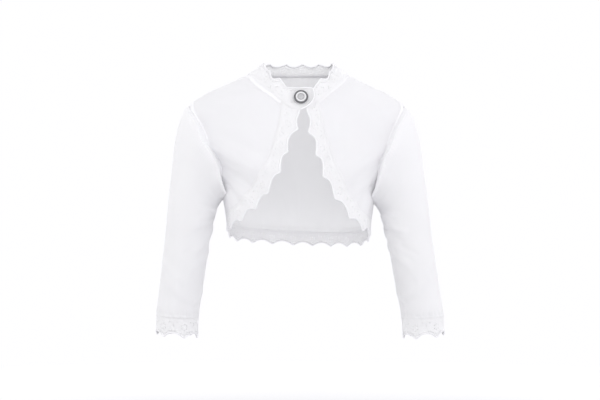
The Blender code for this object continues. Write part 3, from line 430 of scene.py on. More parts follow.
# Beads of the bezel: how many, their radius, radius of their circle as a share, height
BEADS = (40, 0.00058, 0.885, 0.0035)
BEAD_SIDES = 8

# Camera
CAMERA_PLACE = (0.00225, -2.4, -0.187)
CAMERA_LENS = 96.0
CAMERA_SENSOR = 36.0

# Floor: pale grey under the jacket, which is painted shade there, and white far away. The grey also dims
# the light that the floor throws up at the jacket. FLOOR_FADE is where that change begins and ends
FLOOR_HEIGHT = -0.62
FLOOR_RADIUS = 1.9
FLOOR_SIDES = 96
FLOOR_FADE = (0.35, 1.45)
FLOOR_WHITE_AND_PAINTED_SHADE = ((0.99, 0.99, 0.99), (0.60, 0.60, 0.615))
FLOOR_CLOUDS = (3.0, 0.04)
FLOOR_ROUGHNESS = 0.9

# Lights: name, place, aim, power, colour
LIGHT_SIZE = 1.4
LIGHTS = (
    ("key", (1.4, -2.4, 0.15), (0.0, 0.0, -0.15), 5.5, (1.0, 0.985, 1.0)),
    ("fill", (-2.4, -0.9, -0.1), (0.0, 0.0, -0.2), 3.2, (1.0, 1.0, 0.88)),
    ("rim", (2.4, -0.9, -0.1), (0.0, 0.0, -0.2), 2.5, (0.93, 0.93, 1.0)),
    ("low", (0.0, -2.6, -0.6), (0.0, 0.0, -0.25), 7.4, (0.98, 0.97, 1.0)),
    ("behind", (0.0, 1.2, 1.9), (0.0, 0.0, -0.15), 2.5, (1.0, 0.98, 1.0)),
)
WORLD_COLOUR = (1.0, 0.998, 1.02, 1.0)
WORLD_STRENGTH = 1.0


def slopes(keys, values):
    """Slopes for a smooth curve through a table that never overshoots it."""
    steps = np.diff(keys)
    rates = np.diff(values) / steps
    result = np.zeros(len(keys))
    result[0] = rates[0]
    result[-1] = rates[-1]
    for i in range(1, len(keys) - 1):
        if rates[i - 1] * rates[i] > 0:
            before = 2 * steps[i] + steps[i - 1]
            after = steps[i] + 2 * steps[i - 1]
            result[i] = (before + after) / (before / rates[i - 1] + after / rates[i])
    return result


def read(keys, values, at):
    """The table's smooth value at one or more keys."""
    keys = np.asarray(keys, float)
    values = np.asarray(values, float)
    at = np.clip(np.asarray(at, float), keys[0], keys[-1])
    cell = np.clip(np.searchsorted(keys, at, side="right") - 1, 0, len(keys) - 2)
    slope = slopes(keys, values)
    width = keys[cell + 1] - keys[cell]
    t = (at - keys[cell]) / width
    start = (1 + 2 * t) * (1 - t) ** 2 * values[cell] + t * (1 - t) ** 2 * width * slope[cell]
    end = t * t * (3 - 2 * t) * values[cell + 1] + t * t * (t - 1) * width * slope[cell + 1]
    return start + end


def column(table, index):
    return np.array([row[index] for row in table])


def ease(amount):
    """0 below 0, 1 above 1, and a soft step between."""
    amount = np.clip(amount, 0.0, 1.0)
    return amount * amount * (3 - 2 * amount)


def ring(height, index):
    return read(column(TORSO_RINGS, 0), column(TORSO_RINGS, index), height)


def angle_at(distance, height):
    """Angle of the point on the front that lies this far from the centre front."""
    share = np.clip(abs(distance) / ring(height, 1), 0.0, 1.0)
    forward = (1 - share ** RING_ROUNDNESS) ** (1 / RING_ROUNDNESS)
    return math.copysign(math.degrees(math.atan2(share, forward)), distance)


def sway(height):
    return read(column(SWAY, 0), column(SWAY, 1), height)


def droop(x, height):
    """How much lower the cloth hangs towards the wearer's left and towards the hem."""
    across = ease((x + DROOP_HALF_WIDTH) / (2 * DROOP_HALF_WIDTH))
    return LEFT_DROOP * across * ease((DROOP_TOP - height) / (DROOP_TOP - DROOP_BOTTOM))


def plain_surface(angle, height):
    """The torso surface without its folds."""
    sine = np.sin(np.radians(angle))
    cosine = np.cos(np.radians(angle))
    reach = (abs(sine) ** RING_ROUNDNESS + abs(cosine) ** RING_ROUNDNESS) ** (-1 / RING_ROUNDNESS)
    middle = ring(height, 4)
    end = np.where(cosine > 0, ring(height, 2), ring(height, 3))
    x = ring(height, 1) * sine * reach
    y = middle + (end - middle) * abs(cosine) * reach
    drop = droop(x, height)
    shift = np.where(cosine > 0, FRONT_SHIFT * cosine ** 2, 0.0)
    x = x + shift + sway(height)
    return np.stack([x, y, height - drop], axis=-1)


def fold_profile(spots, start, end, half_width):
    """Share of a fold's full depth at each spot, and how far along the fold the spot lies."""
    away = spots - start
    run = end - start
    along = np.clip(away @ run / (run @ run), 0.0, 1.0)
    gap = np.linalg.norm(away - along[..., None] * run, axis=-1)
    return np.exp(-((gap / half_width) ** 2)), along


def fold_depth(angle, height):
    """How far the folds move the body's cloth outwards, at each point of the surface."""
    spots = np.stack([np.radians(angle) * FOLD_RADIUS, height], axis=-1)
    depth = np.zeros(np.shape(height))
    for side, angle_a, height_a, angle_b, height_b, half_width, amount in BODY_FOLDS + BODY_CREASES:
        start = np.array([np.radians(side * angle_a) * FOLD_RADIUS, height_a])
        end = np.array([np.radians(side * angle_b) * FOLD_RADIUS, height_b])
        share, along = fold_profile(spots, start, end, half_width)
        depth = depth + amount * share * (FOLD_START_SHARE + (1 - FOLD_START_SHARE) * along)
    return depth


def unit(vectors):
    return vectors / np.linalg.norm(vectors, axis=-1, keepdims=True)


def normals_of(surface, angle, height):
    """Outward normals of a surface that is given by angle and height."""
    turn = surface(angle + NORMAL_TURN, height) - surface(angle - NORMAL_TURN, height)
    rise = surface(angle, height + NORMAL_RISE) - surface(angle, height - NORMAL_RISE)
    return unit(np.cross(turn, rise))


def folded_surface(angle, height):
    out = normals_of(plain_surface, angle, height)
    wrapped = (np.asarray(angle) + 180.0) % 360.0 - 180.0
    return plain_surface(angle, height) + out * fold_depth(wrapped, height)[..., None]


def lapped_surface(angle, height):
    """The wearer's right front, which is lifted near the centre to lap over the left."""
    across = -ring(height, 1) * np.sin(np.radians(angle))
    lift = 1 - ease((across - LIFT_FULL) / (LIFT_NONE - LIFT_FULL))
    lift = lift * (1 - ease((LIFT_TOP - height) / (LIFT_TOP - LIFT_BOTTOM)))
    out = normals_of(plain_surface, angle, height)
    return folded_surface(angle, height) + out * (TAB_LIFT * lift)[..., None]


FRONT_SURFACE = {RIGHT: lapped_surface, LEFT: folded_surface}


def laid_out(surface, grid):
    """The points of a grid of (angle, height) on a surface, and the outward normals there."""
    angle, height = grid[..., 0], grid[..., 1]
    return surface(angle, height), normals_of(surface, angle, height)


def running(steps):
    """The sum of the steps so far, from 0."""
    return np.concatenate([[0.0], np.cumsum(steps)])


def arc_lengths(path):
    """Length along a path at each of its points."""
    return running(np.linalg.norm(np.diff(path, axis=0), axis=1))


def smooth_line(knots):
    """A dense smooth line of (angle, height) through its knots, LINE_STEPS to each stretch."""
    knots = np.asarray(knots, float)
    keys = arc_lengths(plain_surface(knots[:, 0], knots[:, 1]))
    fine = np.concatenate([np.linspace(keys[i], keys[i + 1], LINE_STEPS, endpoint=False)
                           for i in range(len(keys) - 1)] + [keys[-1:]])
    return np.stack([read(keys, knots[:, i], fine) for i in range(2)], axis=1)


def pick(line, shares):
    """Points of a dense line at the given shares of its length."""
    reach = arc_lengths(plain_surface(line[:, 0], line[:, 1]))
    return np.stack([np.interp(shares, reach / reach[-1], line[:, i]) for i in range(2)], axis=1)


def even(line, steps):
    return pick(line, np.linspace(0.0, 1.0, steps + 1))


def armhole(side, depth, toward):
    """Half of an armhole, from the shoulder to the underarm. toward is -1 for front, 1 for back."""
    turn = np.radians(np.linspace(0.0, 180.0, ARMHOLE_STEPS + 1))
    power = 2 / ARMHOLE_ROUNDNESS
    middle = (ARMHOLE_HIGH + ARMHOLE_LOW) / 2
    half = (ARMHOLE_HIGH - ARMHOLE_LOW) / 2
    height = middle + half * np.sign(np.cos(turn)) * abs(np.cos(turn)) ** power
    angle = SIDE_ANGLE + toward * depth * abs(np.sin(turn)) ** power
    return np.stack([side * angle, height], axis=1)


def outer_line(side, depth, toward):
    """Armhole and side seam in one line, from the shoulder down."""
    heights = np.linspace(ARMHOLE_LOW, SIDE_SEAM_FOOT, SIDE_STEPS + 1)[1:]
    flank = [(side * SIDE_ANGLE, height) for height in heights]
    return np.concatenate([armhole(side, depth, toward), flank])


def shoulder_line(side):
    """The shoulder seam, from the armhole to the neck."""
    heights = np.linspace(ARMHOLE_HIGH, NECK_SIDE_HEIGHT, SHOULDER_LINE_POINTS)
    angles = np.full(SHOULDER_LINE_POINTS, side * SIDE_ANGLE)
    return even(np.stack([angles, heights], axis=1), SHOULDER_STEPS)


def front_point(side, distance, height):
    return side * angle_at(distance, height), height


def front_line(side, tables, foot):
    """A line down a front, from its table, ending at the side seam."""
    knots = [front_point(side, distance, height) for distance, height in tables[side]]
    return smooth_line(knots + [(side * SIDE_ANGLE, foot)])


def neck_seam(side):
    """The neck seam on a front, from the shoulder to the centre, and where its corner lies."""
    knots = [(side * SIDE_ANGLE, NECK_SIDE_HEIGHT)]
    knots += [front_point(side, distance, height) for distance, height in NECK_SEAM_FRONT]
    line = smooth_line(knots + [front_point(side, *LACE_TOPS[side][:2])])
    return line, NECK_CORNER * LINE_STEPS


def level_back_line(height):
    """A level line across the back, from the wearer's left side to the right side."""
    angles = np.linspace(SIDE_ANGLE, 2 * BACK_ANGLE - SIDE_ANGLE, BACK_LINE_POINTS)
    return np.stack([angles, np.full(BACK_LINE_POINTS, height)], axis=1)


def hem_line(height_column):
    """A line along the back hem, from the wearer's left side to the right side."""
    line = level_back_line(0.0)
    folded = BACK_ANGLE - abs(line[:, 0] - BACK_ANGLE)
    line[:, 1] = read(column(BACK_HEM, 0), column(BACK_HEM, height_column), folded)
    return line


def patch(left, right, top, bottom):
    """A grid of (angle, height) that fills four border lines. The bends of its ends fade out fast."""
    v = np.linspace(0.0, 1.0, len(left))[:, None, None]
    u = np.linspace(0.0, 1.0, len(top))[:, None]
    sides = (1 - u) * left[:, None] + u * right[:, None]
    top_bend = top - (1 - u) * top[0] - u * top[-1]
    bottom_bend = bottom - (1 - u) * bottom[0] - u * bottom[-1]
    return sides + (1 - v) ** BEND_FADE * top_bend + v ** BEND_FADE * bottom_bend


def armhole_points(side):
    """The whole armhole as a ring of points: down the front, then up the back."""
    front = armhole(side, ARMHOLE_FRONT_DEPTH, -1)
    back = armhole(side, ARMHOLE_BACK_DEPTH, 1)
    front_points = FRONT_SURFACE[side](front[:, 0], front[:, 1])
    back_points = folded_surface(back[:, 0], back[:, 1])
    return np.concatenate([front_points, back_points[-2:0:-1]])


def sleeve_point(side, x, y, z):
    """A point of a sleeve, moved as the body's cloth is, with less droop towards the cuff."""
    fall = droop(side * x, z)
    if side == LEFT:
        fall = fall - CUFF_RISE * ease((CUFF_RISE_TOP - z) / (CUFF_RISE_TOP - CUFF_RISE_BOTTOM))
    return np.array([side * x + float(sway(z)), y, z - fall])


def sleeve_normals(points, side):
    """Outward normals of a tube of rings."""
    around = np.roll(points, -1, axis=1) - np.roll(points, 1, axis=1)
    along = np.gradient(points, axis=0)
    return unit(np.cross(along, around)) * side


def sleeve_fold_depth(side, rows, turn):
    """How far the folds move a sleeve's cloth outwards, at each point of its rings."""
    down, across = np.meshgrid(rows * SLEEVE_ROW_LENGTH, np.degrees(turn), indexing="ij")
    unrolled = [np.stack([down, (across + shift) * SLEEVE_DEGREE_LENGTH], axis=-1)
                for shift in (-360.0, 0.0, 360.0)]
    depth = np.zeros(down.shape)
    for fold_side, row_a, row_b, turn_a, turn_b, half_width, amount in SLEEVE_FOLDS + SLEEVE_CREASES:
        if fold_side == side:
            start = np.array([row_a * SLEEVE_ROW_LENGTH, turn_a * SLEEVE_DEGREE_LENGTH])
            end = np.array([row_b * SLEEVE_ROW_LENGTH, turn_b * SLEEVE_DEGREE_LENGTH])
            for spots in unrolled:
                depth += amount * fold_profile(spots, start, end, half_width)[0]
    return depth


def armhole_hollow(rows, turn):
    """How deep a sleeve sinks beside its armhole, most at the underarm."""
    from_top = 180.0 - abs(np.degrees(turn) - 180.0)
    most = HOLLOW_AT_SHOULDER + (HOLLOW_AT_UNDERARM - HOLLOW_AT_SHOULDER) * ease(
        (from_top - HOLLOW_BEGINS) / (HOLLOW_FULL - HOLLOW_BEGINS))
    falls = 1 - ease((rows - HOLLOW_PEAK_ROW) / (HOLLOW_LAST_ROW - HOLLOW_PEAK_ROW))
    return (ease(rows / HOLLOW_PEAK_ROW) * falls)[:, None] * most[None]


def oval_key(side, row):
    """One key section of a sleeve: its inner point, outer point and half depth, in one row."""
    inner_x, inner_z, outer_x, outer_z, half_depth, middle_y = row
    inner = sleeve_point(side, inner_x, middle_y, inner_z)
    outer = sleeve_point(side, outer_x, middle_y, outer_z)
    return np.concatenate([inner, outer, [half_depth]])


def ovals(keys, turn):
    """Rings of points for rows of inner point, outer point and half depth."""
    inner = keys[:, None, 0:3]
    outer = keys[:, None, 3:6]
    forward = np.array([0.0, -1.0, 0.0]) * keys[:, None, 6:7]
    across = np.cos(turn)[:, None] * (outer - inner) / 2
    return (inner + outer) / 2 + across + np.sin(turn)[:, None] * forward


def sleeve_rings(side):
    """Fine rings of a sleeve from the armhole to the cuff seam, their normals and their angles."""
    turn = np.radians(np.arange(2 * ARMHOLE_STEPS) * 180.0 / ARMHOLE_STEPS)
    hole = armhole_points(side)
    first = np.concatenate([hole[ARMHOLE_STEPS], hole[0], [ARMHOLE_HALF_DEPTH]])
    keys = np.array([first] + [oval_key(side, row) for row in SLEEVE_SECTIONS])
    places = np.arange(len(keys), dtype=float)
    rows = np.linspace(0.0, len(keys) - 1, (len(keys) - 1) * SLEEVE_STEPS_PER_ROW + 1)
    fine = np.stack([read(places, keys[:, i], rows) for i in range(keys.shape[1])], axis=1)
    fades = np.array(list(ARMHOLE_FADE) + [0.0] * (len(keys) - len(ARMHOLE_FADE)))
    fade = read(places, fades, rows)[:, None, None]
    rings = ovals(fine, turn) + fade * (hole - ovals(keys[:1], turn))
    out = sleeve_normals(rings, side)
    ends = ease(rows) * ease(len(keys) - 1 - rows)
    depth = sleeve_fold_depth(side, rows, turn) * ends[:, None] - armhole_hollow(rows, turn)
    rings = rings + out * depth[..., None]
    return rings, sleeve_normals(rings, side), turn


def front_grid(side):
    """A front panel: armhole and side seam, shoulder and neck seam, and the long seam of its lace."""
    line = front_line(side, FRONT_SEAM, SIDE_SEAM_FOOT)
    neck, corner = neck_seam(side)
    top = np.concatenate([shoulder_line(side)[:-1], even(neck[:corner + 1], NECK_STEPS_FRONT)])
    inner = pick(line, np.linspace(0.0, FRONT_SEAM_TURN, PANEL_STEPS + 1))
    bottom = pick(line, np.linspace(1.0, FRONT_SEAM_TURN, len(top)))
    return patch(outer_line(side, ARMHOLE_FRONT_DEPTH, -1), inner, top, bottom)


def across_back(line):
    """The mirror image of a line, on the other side of the back."""
    return np.stack([2 * BACK_ANGLE - line[:, 0], line[:, 1]], axis=1)


def back_grid():
    """The back panel, from the wearer's left side across to the right side."""
    left = outer_line(LEFT, ARMHOLE_BACK_DEPTH, 1)
    shoulder = shoulder_line(LEFT)
    neck = even(level_back_line(NECK_SIDE_HEIGHT), NECK_STEPS_BACK)
    top = np.concatenate([shoulder[:-1], neck, across_back(shoulder[:-1])[::-1]])
    bottom = even(hem_line(1), len(top) - 1)
    return patch(left, across_back(left), top, bottom)


def nearest(points, line):
    """Distance from each point to a line of points, and how far along the line that is."""
    flat = points.reshape(-1, 3)
    along = arc_lengths(line)
    distance = np.empty(len(flat))
    place = np.empty(len(flat))
    for start in range(0, len(flat), NEAREST_BATCH):
        batch = slice(start, start + NEAREST_BATCH)
        gaps = np.linalg.norm(flat[batch, None] - line[None], axis=2)
        best = gaps.argmin(axis=1)
        distance[batch] = gaps[np.arange(len(gaps)), best]
        place[batch] = along[best]
    return distance.reshape(points.shape[:-1]), place.reshape(points.shape[:-1])


def settle_seams(points, out, lines, share=1.0):
    """Dip the cloth into its seams and pucker it a little beside them. share tones it down."""
    depth = np.zeros(points.shape[:-1])
    ripple, rate = PUCKER_RIPPLE
    for number, line in enumerate(lines):
        distance, place = nearest(points, line)
        depth -= SEAM_DIP * np.exp(-((distance / SEAM_DIP_WIDTH) ** 2))
        wave = np.sin(2 * np.pi * place / PUCKER_PITCH + number)
        wave = wave + ripple * np.sin(place * rate + 2 * number)
        beside = np.exp(-(((distance - PUCKER_WIDTH) / PUCKER_WIDTH) ** 2))
        depth += PUCKER_DEPTH * wave * beside
    return points + out * (share * depth)[..., None]


class Draft:
    """Points, faces and grain coordinates of one mesh, gathered piece by piece."""

    def __init__(self):
        self.points = []
        self.faces = []
        self.grain = []
        self.count = 0

    def add(self, points, faces, grain):
        self.points.append(np.asarray(points, float).reshape(-1, 3))
        self.faces += [[index + self.count for index in face] for face in faces]
        self.grain += grain
        self.count += len(self.points[-1])

    def build(self, name, made_of, sharp=40.0):
        mesh = bpy.data.meshes.new(name)
        mesh.from_pydata(np.concatenate(self.points).tolist(), [], self.faces)
        layer = mesh.uv_layers.new(name="grain")
        layer.uv.foreach_set("vector", np.concatenate(self.grain).astype(np.float32).ravel())
        mesh.materials.append(made_of)
        mesh.shade_smooth()
        mesh.set_sharp_from_angle(angle=math.radians(sharp))
        obj = bpy.data.objects.new(name, mesh)
        bpy.context.collection.objects.link(obj)
        return obj


def wall(layers, grain, keep=None, closed=False):
    """Faces of a closed wall between two grids of points. keep marks the cells that are cloth."""
    rows, columns = layers[0].shape[:2]
    cells = (rows - 1, columns if closed else columns - 1)
    keep = np.ones(cells, bool) if keep is None else keep
    index = np.arange(rows * columns).reshape(rows, columns)
    if closed:
        index = np.concatenate([index, index[:, :1]], axis=1)
    corners = [index[:-1, :-1], index[1:, :-1], index[1:, 1:], index[:-1, 1:]]
    marks = [grain[:-1, :-1], grain[1:, :-1], grain[1:, 1:], grain[:-1, 1:]]
    padded = np.pad(keep, ((1, 1), (0, 0)))
    if closed:
        around = np.concatenate([keep[:, -1:], keep, keep[:, :1]], axis=1)
    else:
        around = np.pad(keep, ((0, 0), (1, 1)))
    neighbours = [around[:, :-2], padded[2:], around[:, 2:], padded[:-2]]
    inner = rows * columns
    outside = np.stack([c[keep] for c in corners], axis=1)
    outside_marks = np.stack([m[keep] for m in marks], axis=1)
    faces = [outside, outside[:, ::-1] + inner]
    grains = [outside_marks, outside_marks[:, ::-1]]
    for k in range(4):
        edge = keep & ~neighbours[k]
        start = corners[k][edge]
        end = corners[(k + 1) % 4][edge]
        faces.append(np.stack([end, start, start + inner, end + inner], axis=1))
        start_mark = marks[k][edge]
        end_mark = marks[(k + 1) % 4][edge]
        grains.append(np.stack([end_mark, start_mark, start_mark, end_mark], axis=1))
    faces = np.concatenate(faces)
    grains = np.concatenate(grains)
    first = layers[0].reshape(-1, 3)[outside[:, :3]]
    normal = np.cross(first[:, 1] - first[:, 0], first[:, 2] - first[:, 0])
    depth = (layers[0] - layers[1]).reshape(-1, 3)[outside[:, 0]]
    if (normal * depth).sum() < 0:
        faces = faces[:, ::-1]
        grains = grains[:, ::-1]
    return faces, grains


def used_only(points, faces):
    """Drop the points that no face uses."""
    used = np.unique(faces)
    renumbered = np.zeros(len(points), int)
    renumbered[used] = np.arange(len(used))
    return points[used], renumbered[faces]


def shell(name, layers, grain, made_of, keep=None, closed=False):
    """A piece of cloth as one closed wall."""
    faces, grains = wall(layers, grain, keep, closed)
    points, faces = used_only(np.concatenate([layer.reshape(-1, 3) for layer in layers]), faces)
    draft = Draft()
    draft.add(points, faces.tolist(), [grains.reshape(-1, 2)])
    return draft.build(name, made_of)


def body_grain(grid):
    """Grain coordinates of the body's cloth, in metres: round the body, and up it."""
    return np.stack([np.radians(grid[..., 0]) * GRAIN_RADIUS, grid[..., 1]], axis=-1)


def tube(reach, sides, closed):
    """Faces and grain of a tube of rings. reach is the place of each ring and of the one after."""
    count = len(reach) - 1
    faces = []
    grain = []
    for i in range(count if closed else count - 1):
        j = (i + 1) % count
        for k in range(sides):
            n = (k + 1) % sides
            faces.append([i * sides + k, i * sides + n, j * sides + n, j * sides + k])
            low, high = k / sides, (k + 1) / sides
            grain += [(reach[i], low), (reach[i], high), (reach[i + 1], high), (reach[i + 1], low)]
    return faces, [np.array(grain)]


def sweep(draft, path, outs, half_widths, heights, closed=False):
    """A cord or ridge along a path. It is half_widths wide to each side and heights tall."""
    count, sides = half_widths.shape
    if closed:
        ahead = unit(np.roll(path, -1, axis=0) - np.roll(path, 1, axis=0))
    else:
        ahead = unit(np.gradient(path, axis=0))
    across = unit(np.cross(ahead, outs))
    up = np.cross(across, ahead)
    turn = np.arange(sides) * 2 * np.pi / sides
    rings = (path[:, None]
             + across[:, None] * (np.cos(turn) * half_widths)[..., None]
             + up[:, None] * (np.sin(turn) * heights)[..., None])
    reach = arc_lengths(path)
    faces, grain = tube(np.append(reach, reach[-1] + reach[1]), sides, closed)
    if not closed:
        faces.append(list(range(sides))[::-1])
        faces.append(list(range((count - 1) * sides, count * sides)))
        grain.append(np.zeros((2 * sides, 2)))
    draft.add(rings, faces, grain)


def resample(path, outs, step, closed=False):
    """The same path with even steps."""
    if closed:
        path = np.concatenate([path, path[:1]])
        outs = np.concatenate([outs, outs[:1]])
    reach = arc_lengths(path)
    count = max(4, int(round(reach[-1] / step)))
    at = np.linspace(0.0, reach[-1], count + 1)
    if closed:
        at = at[:-1]
    new_path = np.stack([np.interp(at, reach, path[:, i]) for i in range(3)], axis=1)
    new_outs = np.stack([np.interp(at, reach, outs[:, i]) for i in range(3)], axis=1)
    return new_path, unit(new_outs), at


def end_taper(at, length, least, closed):
    """Share of its full size that a cord has at each place, less towards its two ends."""
    if closed:
        return np.ones(len(at))
    return np.clip(np.minimum(at, at[-1] - at) / length, least, 1.0)


def ridge(draft, path, outs, size, closed=False):
    """A raised seam with an uneven height. size is its half width, height and narrowing."""
    path, outs, at = resample(path, outs, RIDGE_STEP, closed)
    half_width, height, narrowing = size
    full = (1 - narrowing * at / at[-1]) * end_taper(at, *RIDGE_TAPER, closed)
    uneven = 1 + sum(share * np.sin(at * rate + start) for share, rate, start in RIDGE_WAVES)
    around = np.ones(RIDGE_SIDES)
    widths = (half_width * full)[:, None] * around
    sweep(draft, path, outs, widths, (height * uneven * full)[:, None] * around, closed)


def rim(draft, path, outs, closed=False, radius=RIM_RADIUS):
    """The thick rolled edge of the scallops, whipped over with thread."""
    path, outs, at = resample(path, outs, RIM_STEP, closed)
    turn = np.arange(RIM_SIDES) * 2 * np.pi / RIM_SIDES
    pitch = at[-1] / max(1, round(at[-1] / RIM_PITCH))
    swell = 1 + RIM_SWELL * np.cos(2 * np.pi * at[:, None] / pitch + turn[None])
    radii = radius * swell * end_taper(at, *RIM_TAPER, closed)[:, None]
    sweep(draft, path, outs, radii, radii, closed)


def stitches(draft, path, outs, closed=False):
    """A row of short stitches lying on the cloth."""
    pitch, length, radius = STITCH
    count = len(STITCH_WIDTHS)
    path, outs, _ = resample(path, outs, pitch / count, closed)
    stretch = length / (pitch * (count - 1) / count)
    rise = radius * np.array(STITCH_RISE)[:, None]
    sizes = radius * np.array(STITCH_WIDTHS)[:, None] * np.ones(STITCH_SIDES)
    for start in range(0, len(path) - count, count):
        spot = path[start:start + count]
        middle = spot.mean(axis=0)
        out = outs[start:start + count]
        sweep(draft, middle + (spot - middle) * stretch + out * rise, out, sizes, sizes)


# Materials
# How much of the light passes into the cloth, and how deep
FRONT_GLOW = (0.75, 0.0035)
SLEEVE_GLOW = (0.50, 0.0028)
BACK_GLOW = (1.0, 0.0085)
HEM_GLOW = (0.50, 0.0030)
# Width and height of one stitch
KNIT_STITCH = (0.0013, 0.0010)
LACE_STITCH = (0.0009, 0.0008)
THREAD_PITCH = 0.0011
# Lighter and darker colour. The darker one is painted shade between the stitches, mixed with random cloudy
# tone
KNIT_COLOURS = ((0.925, 0.921, 0.940), (0.880, 0.876, 0.896))
SLEEVE_COLOURS = ((0.925, 0.922, 0.932), (0.885, 0.882, 0.894))
LACE_COLOURS = ((0.968, 0.965, 0.976), (0.932, 0.929, 0.944))
# Cloths: name, colours, roughness, stitch, strength of its relief, sheen, glow
CLOTHS = (
    ("white_knit", KNIT_COLOURS, 0.78, KNIT_STITCH, 0.55, 0.20, FRONT_GLOW),
    ("white_knit_sleeve", SLEEVE_COLOURS, 0.78, KNIT_STITCH, 0.55, 0.20, SLEEVE_GLOW),
    ("white_knit_back", KNIT_COLOURS, 0.78, KNIT_STITCH, 0.55, 0.20, BACK_GLOW),
    ("white_lace", LACE_COLOURS, 0.72, LACE_STITCH, 0.42, 0.15, FRONT_GLOW),
    ("white_lace_back", LACE_COLOURS, 0.72, LACE_STITCH, 0.60, 0.15, BACK_GLOW),
    ("white_lace_hem", LACE_COLOURS, 0.72, LACE_STITCH, 0.60, 0.15, HEM_GLOW),
)
# Soft clouds and fine fuzz of the cloth: noise scales. Depth of its relief
CLOUD_SCALE = 22.0
FUZZ_SCALE = 900.0
RELIEF_DEPTH = 0.00035


def node(tree, kind, inputs=None, **settings):
    """A shader node with its settings and inputs. An input is a value or another node's output."""
    made = tree.nodes.new(kind)
    for key, value in settings.items():
        setattr(made, key, value)
    for key, value in (inputs or {}).items():
        if isinstance(value, bpy.types.NodeSocket):
            tree.links.new(value, made.inputs[key])
        else:
            made.inputs[key].default_value = value
    return made


def maths(tree, operation, a, b=0.0, c=0.0):
    return node(tree, "ShaderNodeMath", {0: a, 1: b, 2: c}, operation=operation).outputs[0]


def noise(tree, scale, detail=2.0, **more):
    """Cloudy noise, from 0 to 1."""
    place = node(tree, "ShaderNodeTexCoord").outputs["Object"]
    inputs = {"Vector": place, "Scale": scale, "Detail": detail, **more}
    return node(tree, "ShaderNodeTexNoise", inputs).outputs["Fac"]


def grain_axes(tree):
    """The two grain coordinates of a sheet or of a thread."""
    grain = node(tree, "ShaderNodeUVMap", uv_map="grain").outputs[0]
    return node(tree, "ShaderNodeSeparateXYZ", {0: grain}).outputs


def knit_height(tree, wale, course):
    """Height of a plain knit, from 0 between its columns of V stitches to 1 on them."""
    grain = grain_axes(tree)
    across = maths(tree, "FRACT", maths(tree, "MULTIPLY", grain[0], 1 / wale))
    lean = maths(tree, "ABSOLUTE", maths(tree, "SUBTRACT", across, 0.5))
    slant = maths(tree, "MULTIPLY", lean, 5.0)
    rise = maths(tree, "MULTIPLY_ADD", grain[1], 2 * math.pi / course, slant)
    loops = maths(tree, "MULTIPLY_ADD", maths(tree, "SINE", rise), 0.5, 0.5)
    columns = maths(tree, "SINE", maths(tree, "MULTIPLY", across, math.pi))
    rounded = maths(tree, "POWER", columns, 0.6)
    return maths(tree, "MULTIPLY", rounded, maths(tree, "MULTIPLY_ADD", loops, 0.6, 0.4))


def new_material(name, **inputs):
    """A material with its node tree and its shader. inputs are the shader's, with _ for a space."""
    made = bpy.data.materials.new(name)
    made.use_nodes = True
    shader = made.node_tree.nodes["Principled BSDF"]
    for key, value in inputs.items():
        shader.inputs[key.replace("_", " ")].default_value = value
    return made, made.node_tree, shader


def paint(tree, shader, amount, high, low, start=0.0, end=1.0):
    """Colour the shader from low to high as the amount goes from start to end."""
    ramp = node(tree, "ShaderNodeValToRGB", {"Fac": amount})
    for stop, position, colour in zip(ramp.color_ramp.elements, (start, end), (low, high)):
        stop.position = position
        stop.color = (*colour, 1.0)
    tree.links.new(ramp.outputs["Color"], shader.inputs["Base Color"])
    return ramp.color_ramp


def emboss(tree, shader, height, strength, distance):
    """Let the light show a fine relief."""
    inputs = {"Height": height, "Strength": strength, "Distance": distance}
    normal = node(tree, "ShaderNodeBump", inputs).outputs["Normal"]
    tree.links.new(normal, shader.inputs["Normal"])


def roughen(tree, shader, amount, spread, least):
    """Roughness that grows from its least with an amount."""
    rough = maths(tree, "MULTIPLY_ADD", amount, spread, least)
    tree.links.new(rough, shader.inputs["Roughness"])


def cloth_material(name, colours, roughness, stitch, strength, sheen, glow):
    """White cloth: stitches in its bump, painted shade between the stitches in its colour, soft cloudy
    tone, and a little sheen.
    """
    made, tree, shader = new_material(
        name, Sheen_Weight=sheen, Sheen_Roughness=0.5, Specular_IOR_Level=0.25,
        Subsurface_Weight=glow[0], Subsurface_Radius=(1.0, 1.0, 1.0), Subsurface_Scale=glow[1])
    height = knit_height(tree, *stitch)
    cloud = noise(tree, CLOUD_SCALE, 3.0)
    fuzz = noise(tree, FUZZ_SCALE)
    # Painted shade: half of the tone darkens the colour between the stitches, and random clouds give the
    # other half
    tone = maths(tree, "MULTIPLY_ADD", cloud, 0.5, maths(tree, "MULTIPLY", height, 0.5))
    paint(tree, shader, tone, *colours, 0.15, 0.80)
    emboss(tree, shader, maths(tree, "MULTIPLY_ADD", fuzz, 0.35, height), strength, RELIEF_DEPTH)
    roughen(tree, shader, fuzz, 0.12, roughness)
    return made


def thread_material(name, high, low):
    """Twisted thread wound over the rims and sewn along the seams."""
    made, tree, shader = new_material(name, Roughness=0.62, Sheen_Weight=0.15)
    grain = grain_axes(tree)
    turn = maths(tree, "MULTIPLY", grain[1], 2 * math.pi)
    twist = maths(tree, "SINE", maths(tree, "MULTIPLY_ADD", grain[0], 2 * math.pi / THREAD_PITCH, turn))
    height = maths(tree, "MULTIPLY_ADD", twist, 0.5, 0.5)
    # Painted shade: the thread's colour is darker in the grooves of its twist
    paint(tree, shader, height, high, low)
    emboss(tree, shader, height, 0.5, 0.0003)
    return made


def metal_material(name, high, low, roughness, scale):
    """Metal with darker hollows and fine scratches."""
    made, tree, shader = new_material(name, Metallic=1.0)
    worn = noise(tree, scale, 4.0)
    paint(tree, shader, worn, high, low, 0.30, 0.70)
    emboss(tree, shader, worn, 0.25, 0.0002)
    roughen(tree, shader, worn, 0.20, roughness)
    return made


def stone_material(name, high, low):
    """Grey polished stone with soft veins."""
    made, tree, shader = new_material(name, Roughness=0.16, Coat_Weight=0.6)
    veins = noise(tree, 420.0, 5.0, Distortion=1.2)
    paint(tree, shader, veins, high, low, 0.35, 0.65)
    emboss(tree, shader, veins, 0.06, 0.0002)
    return made


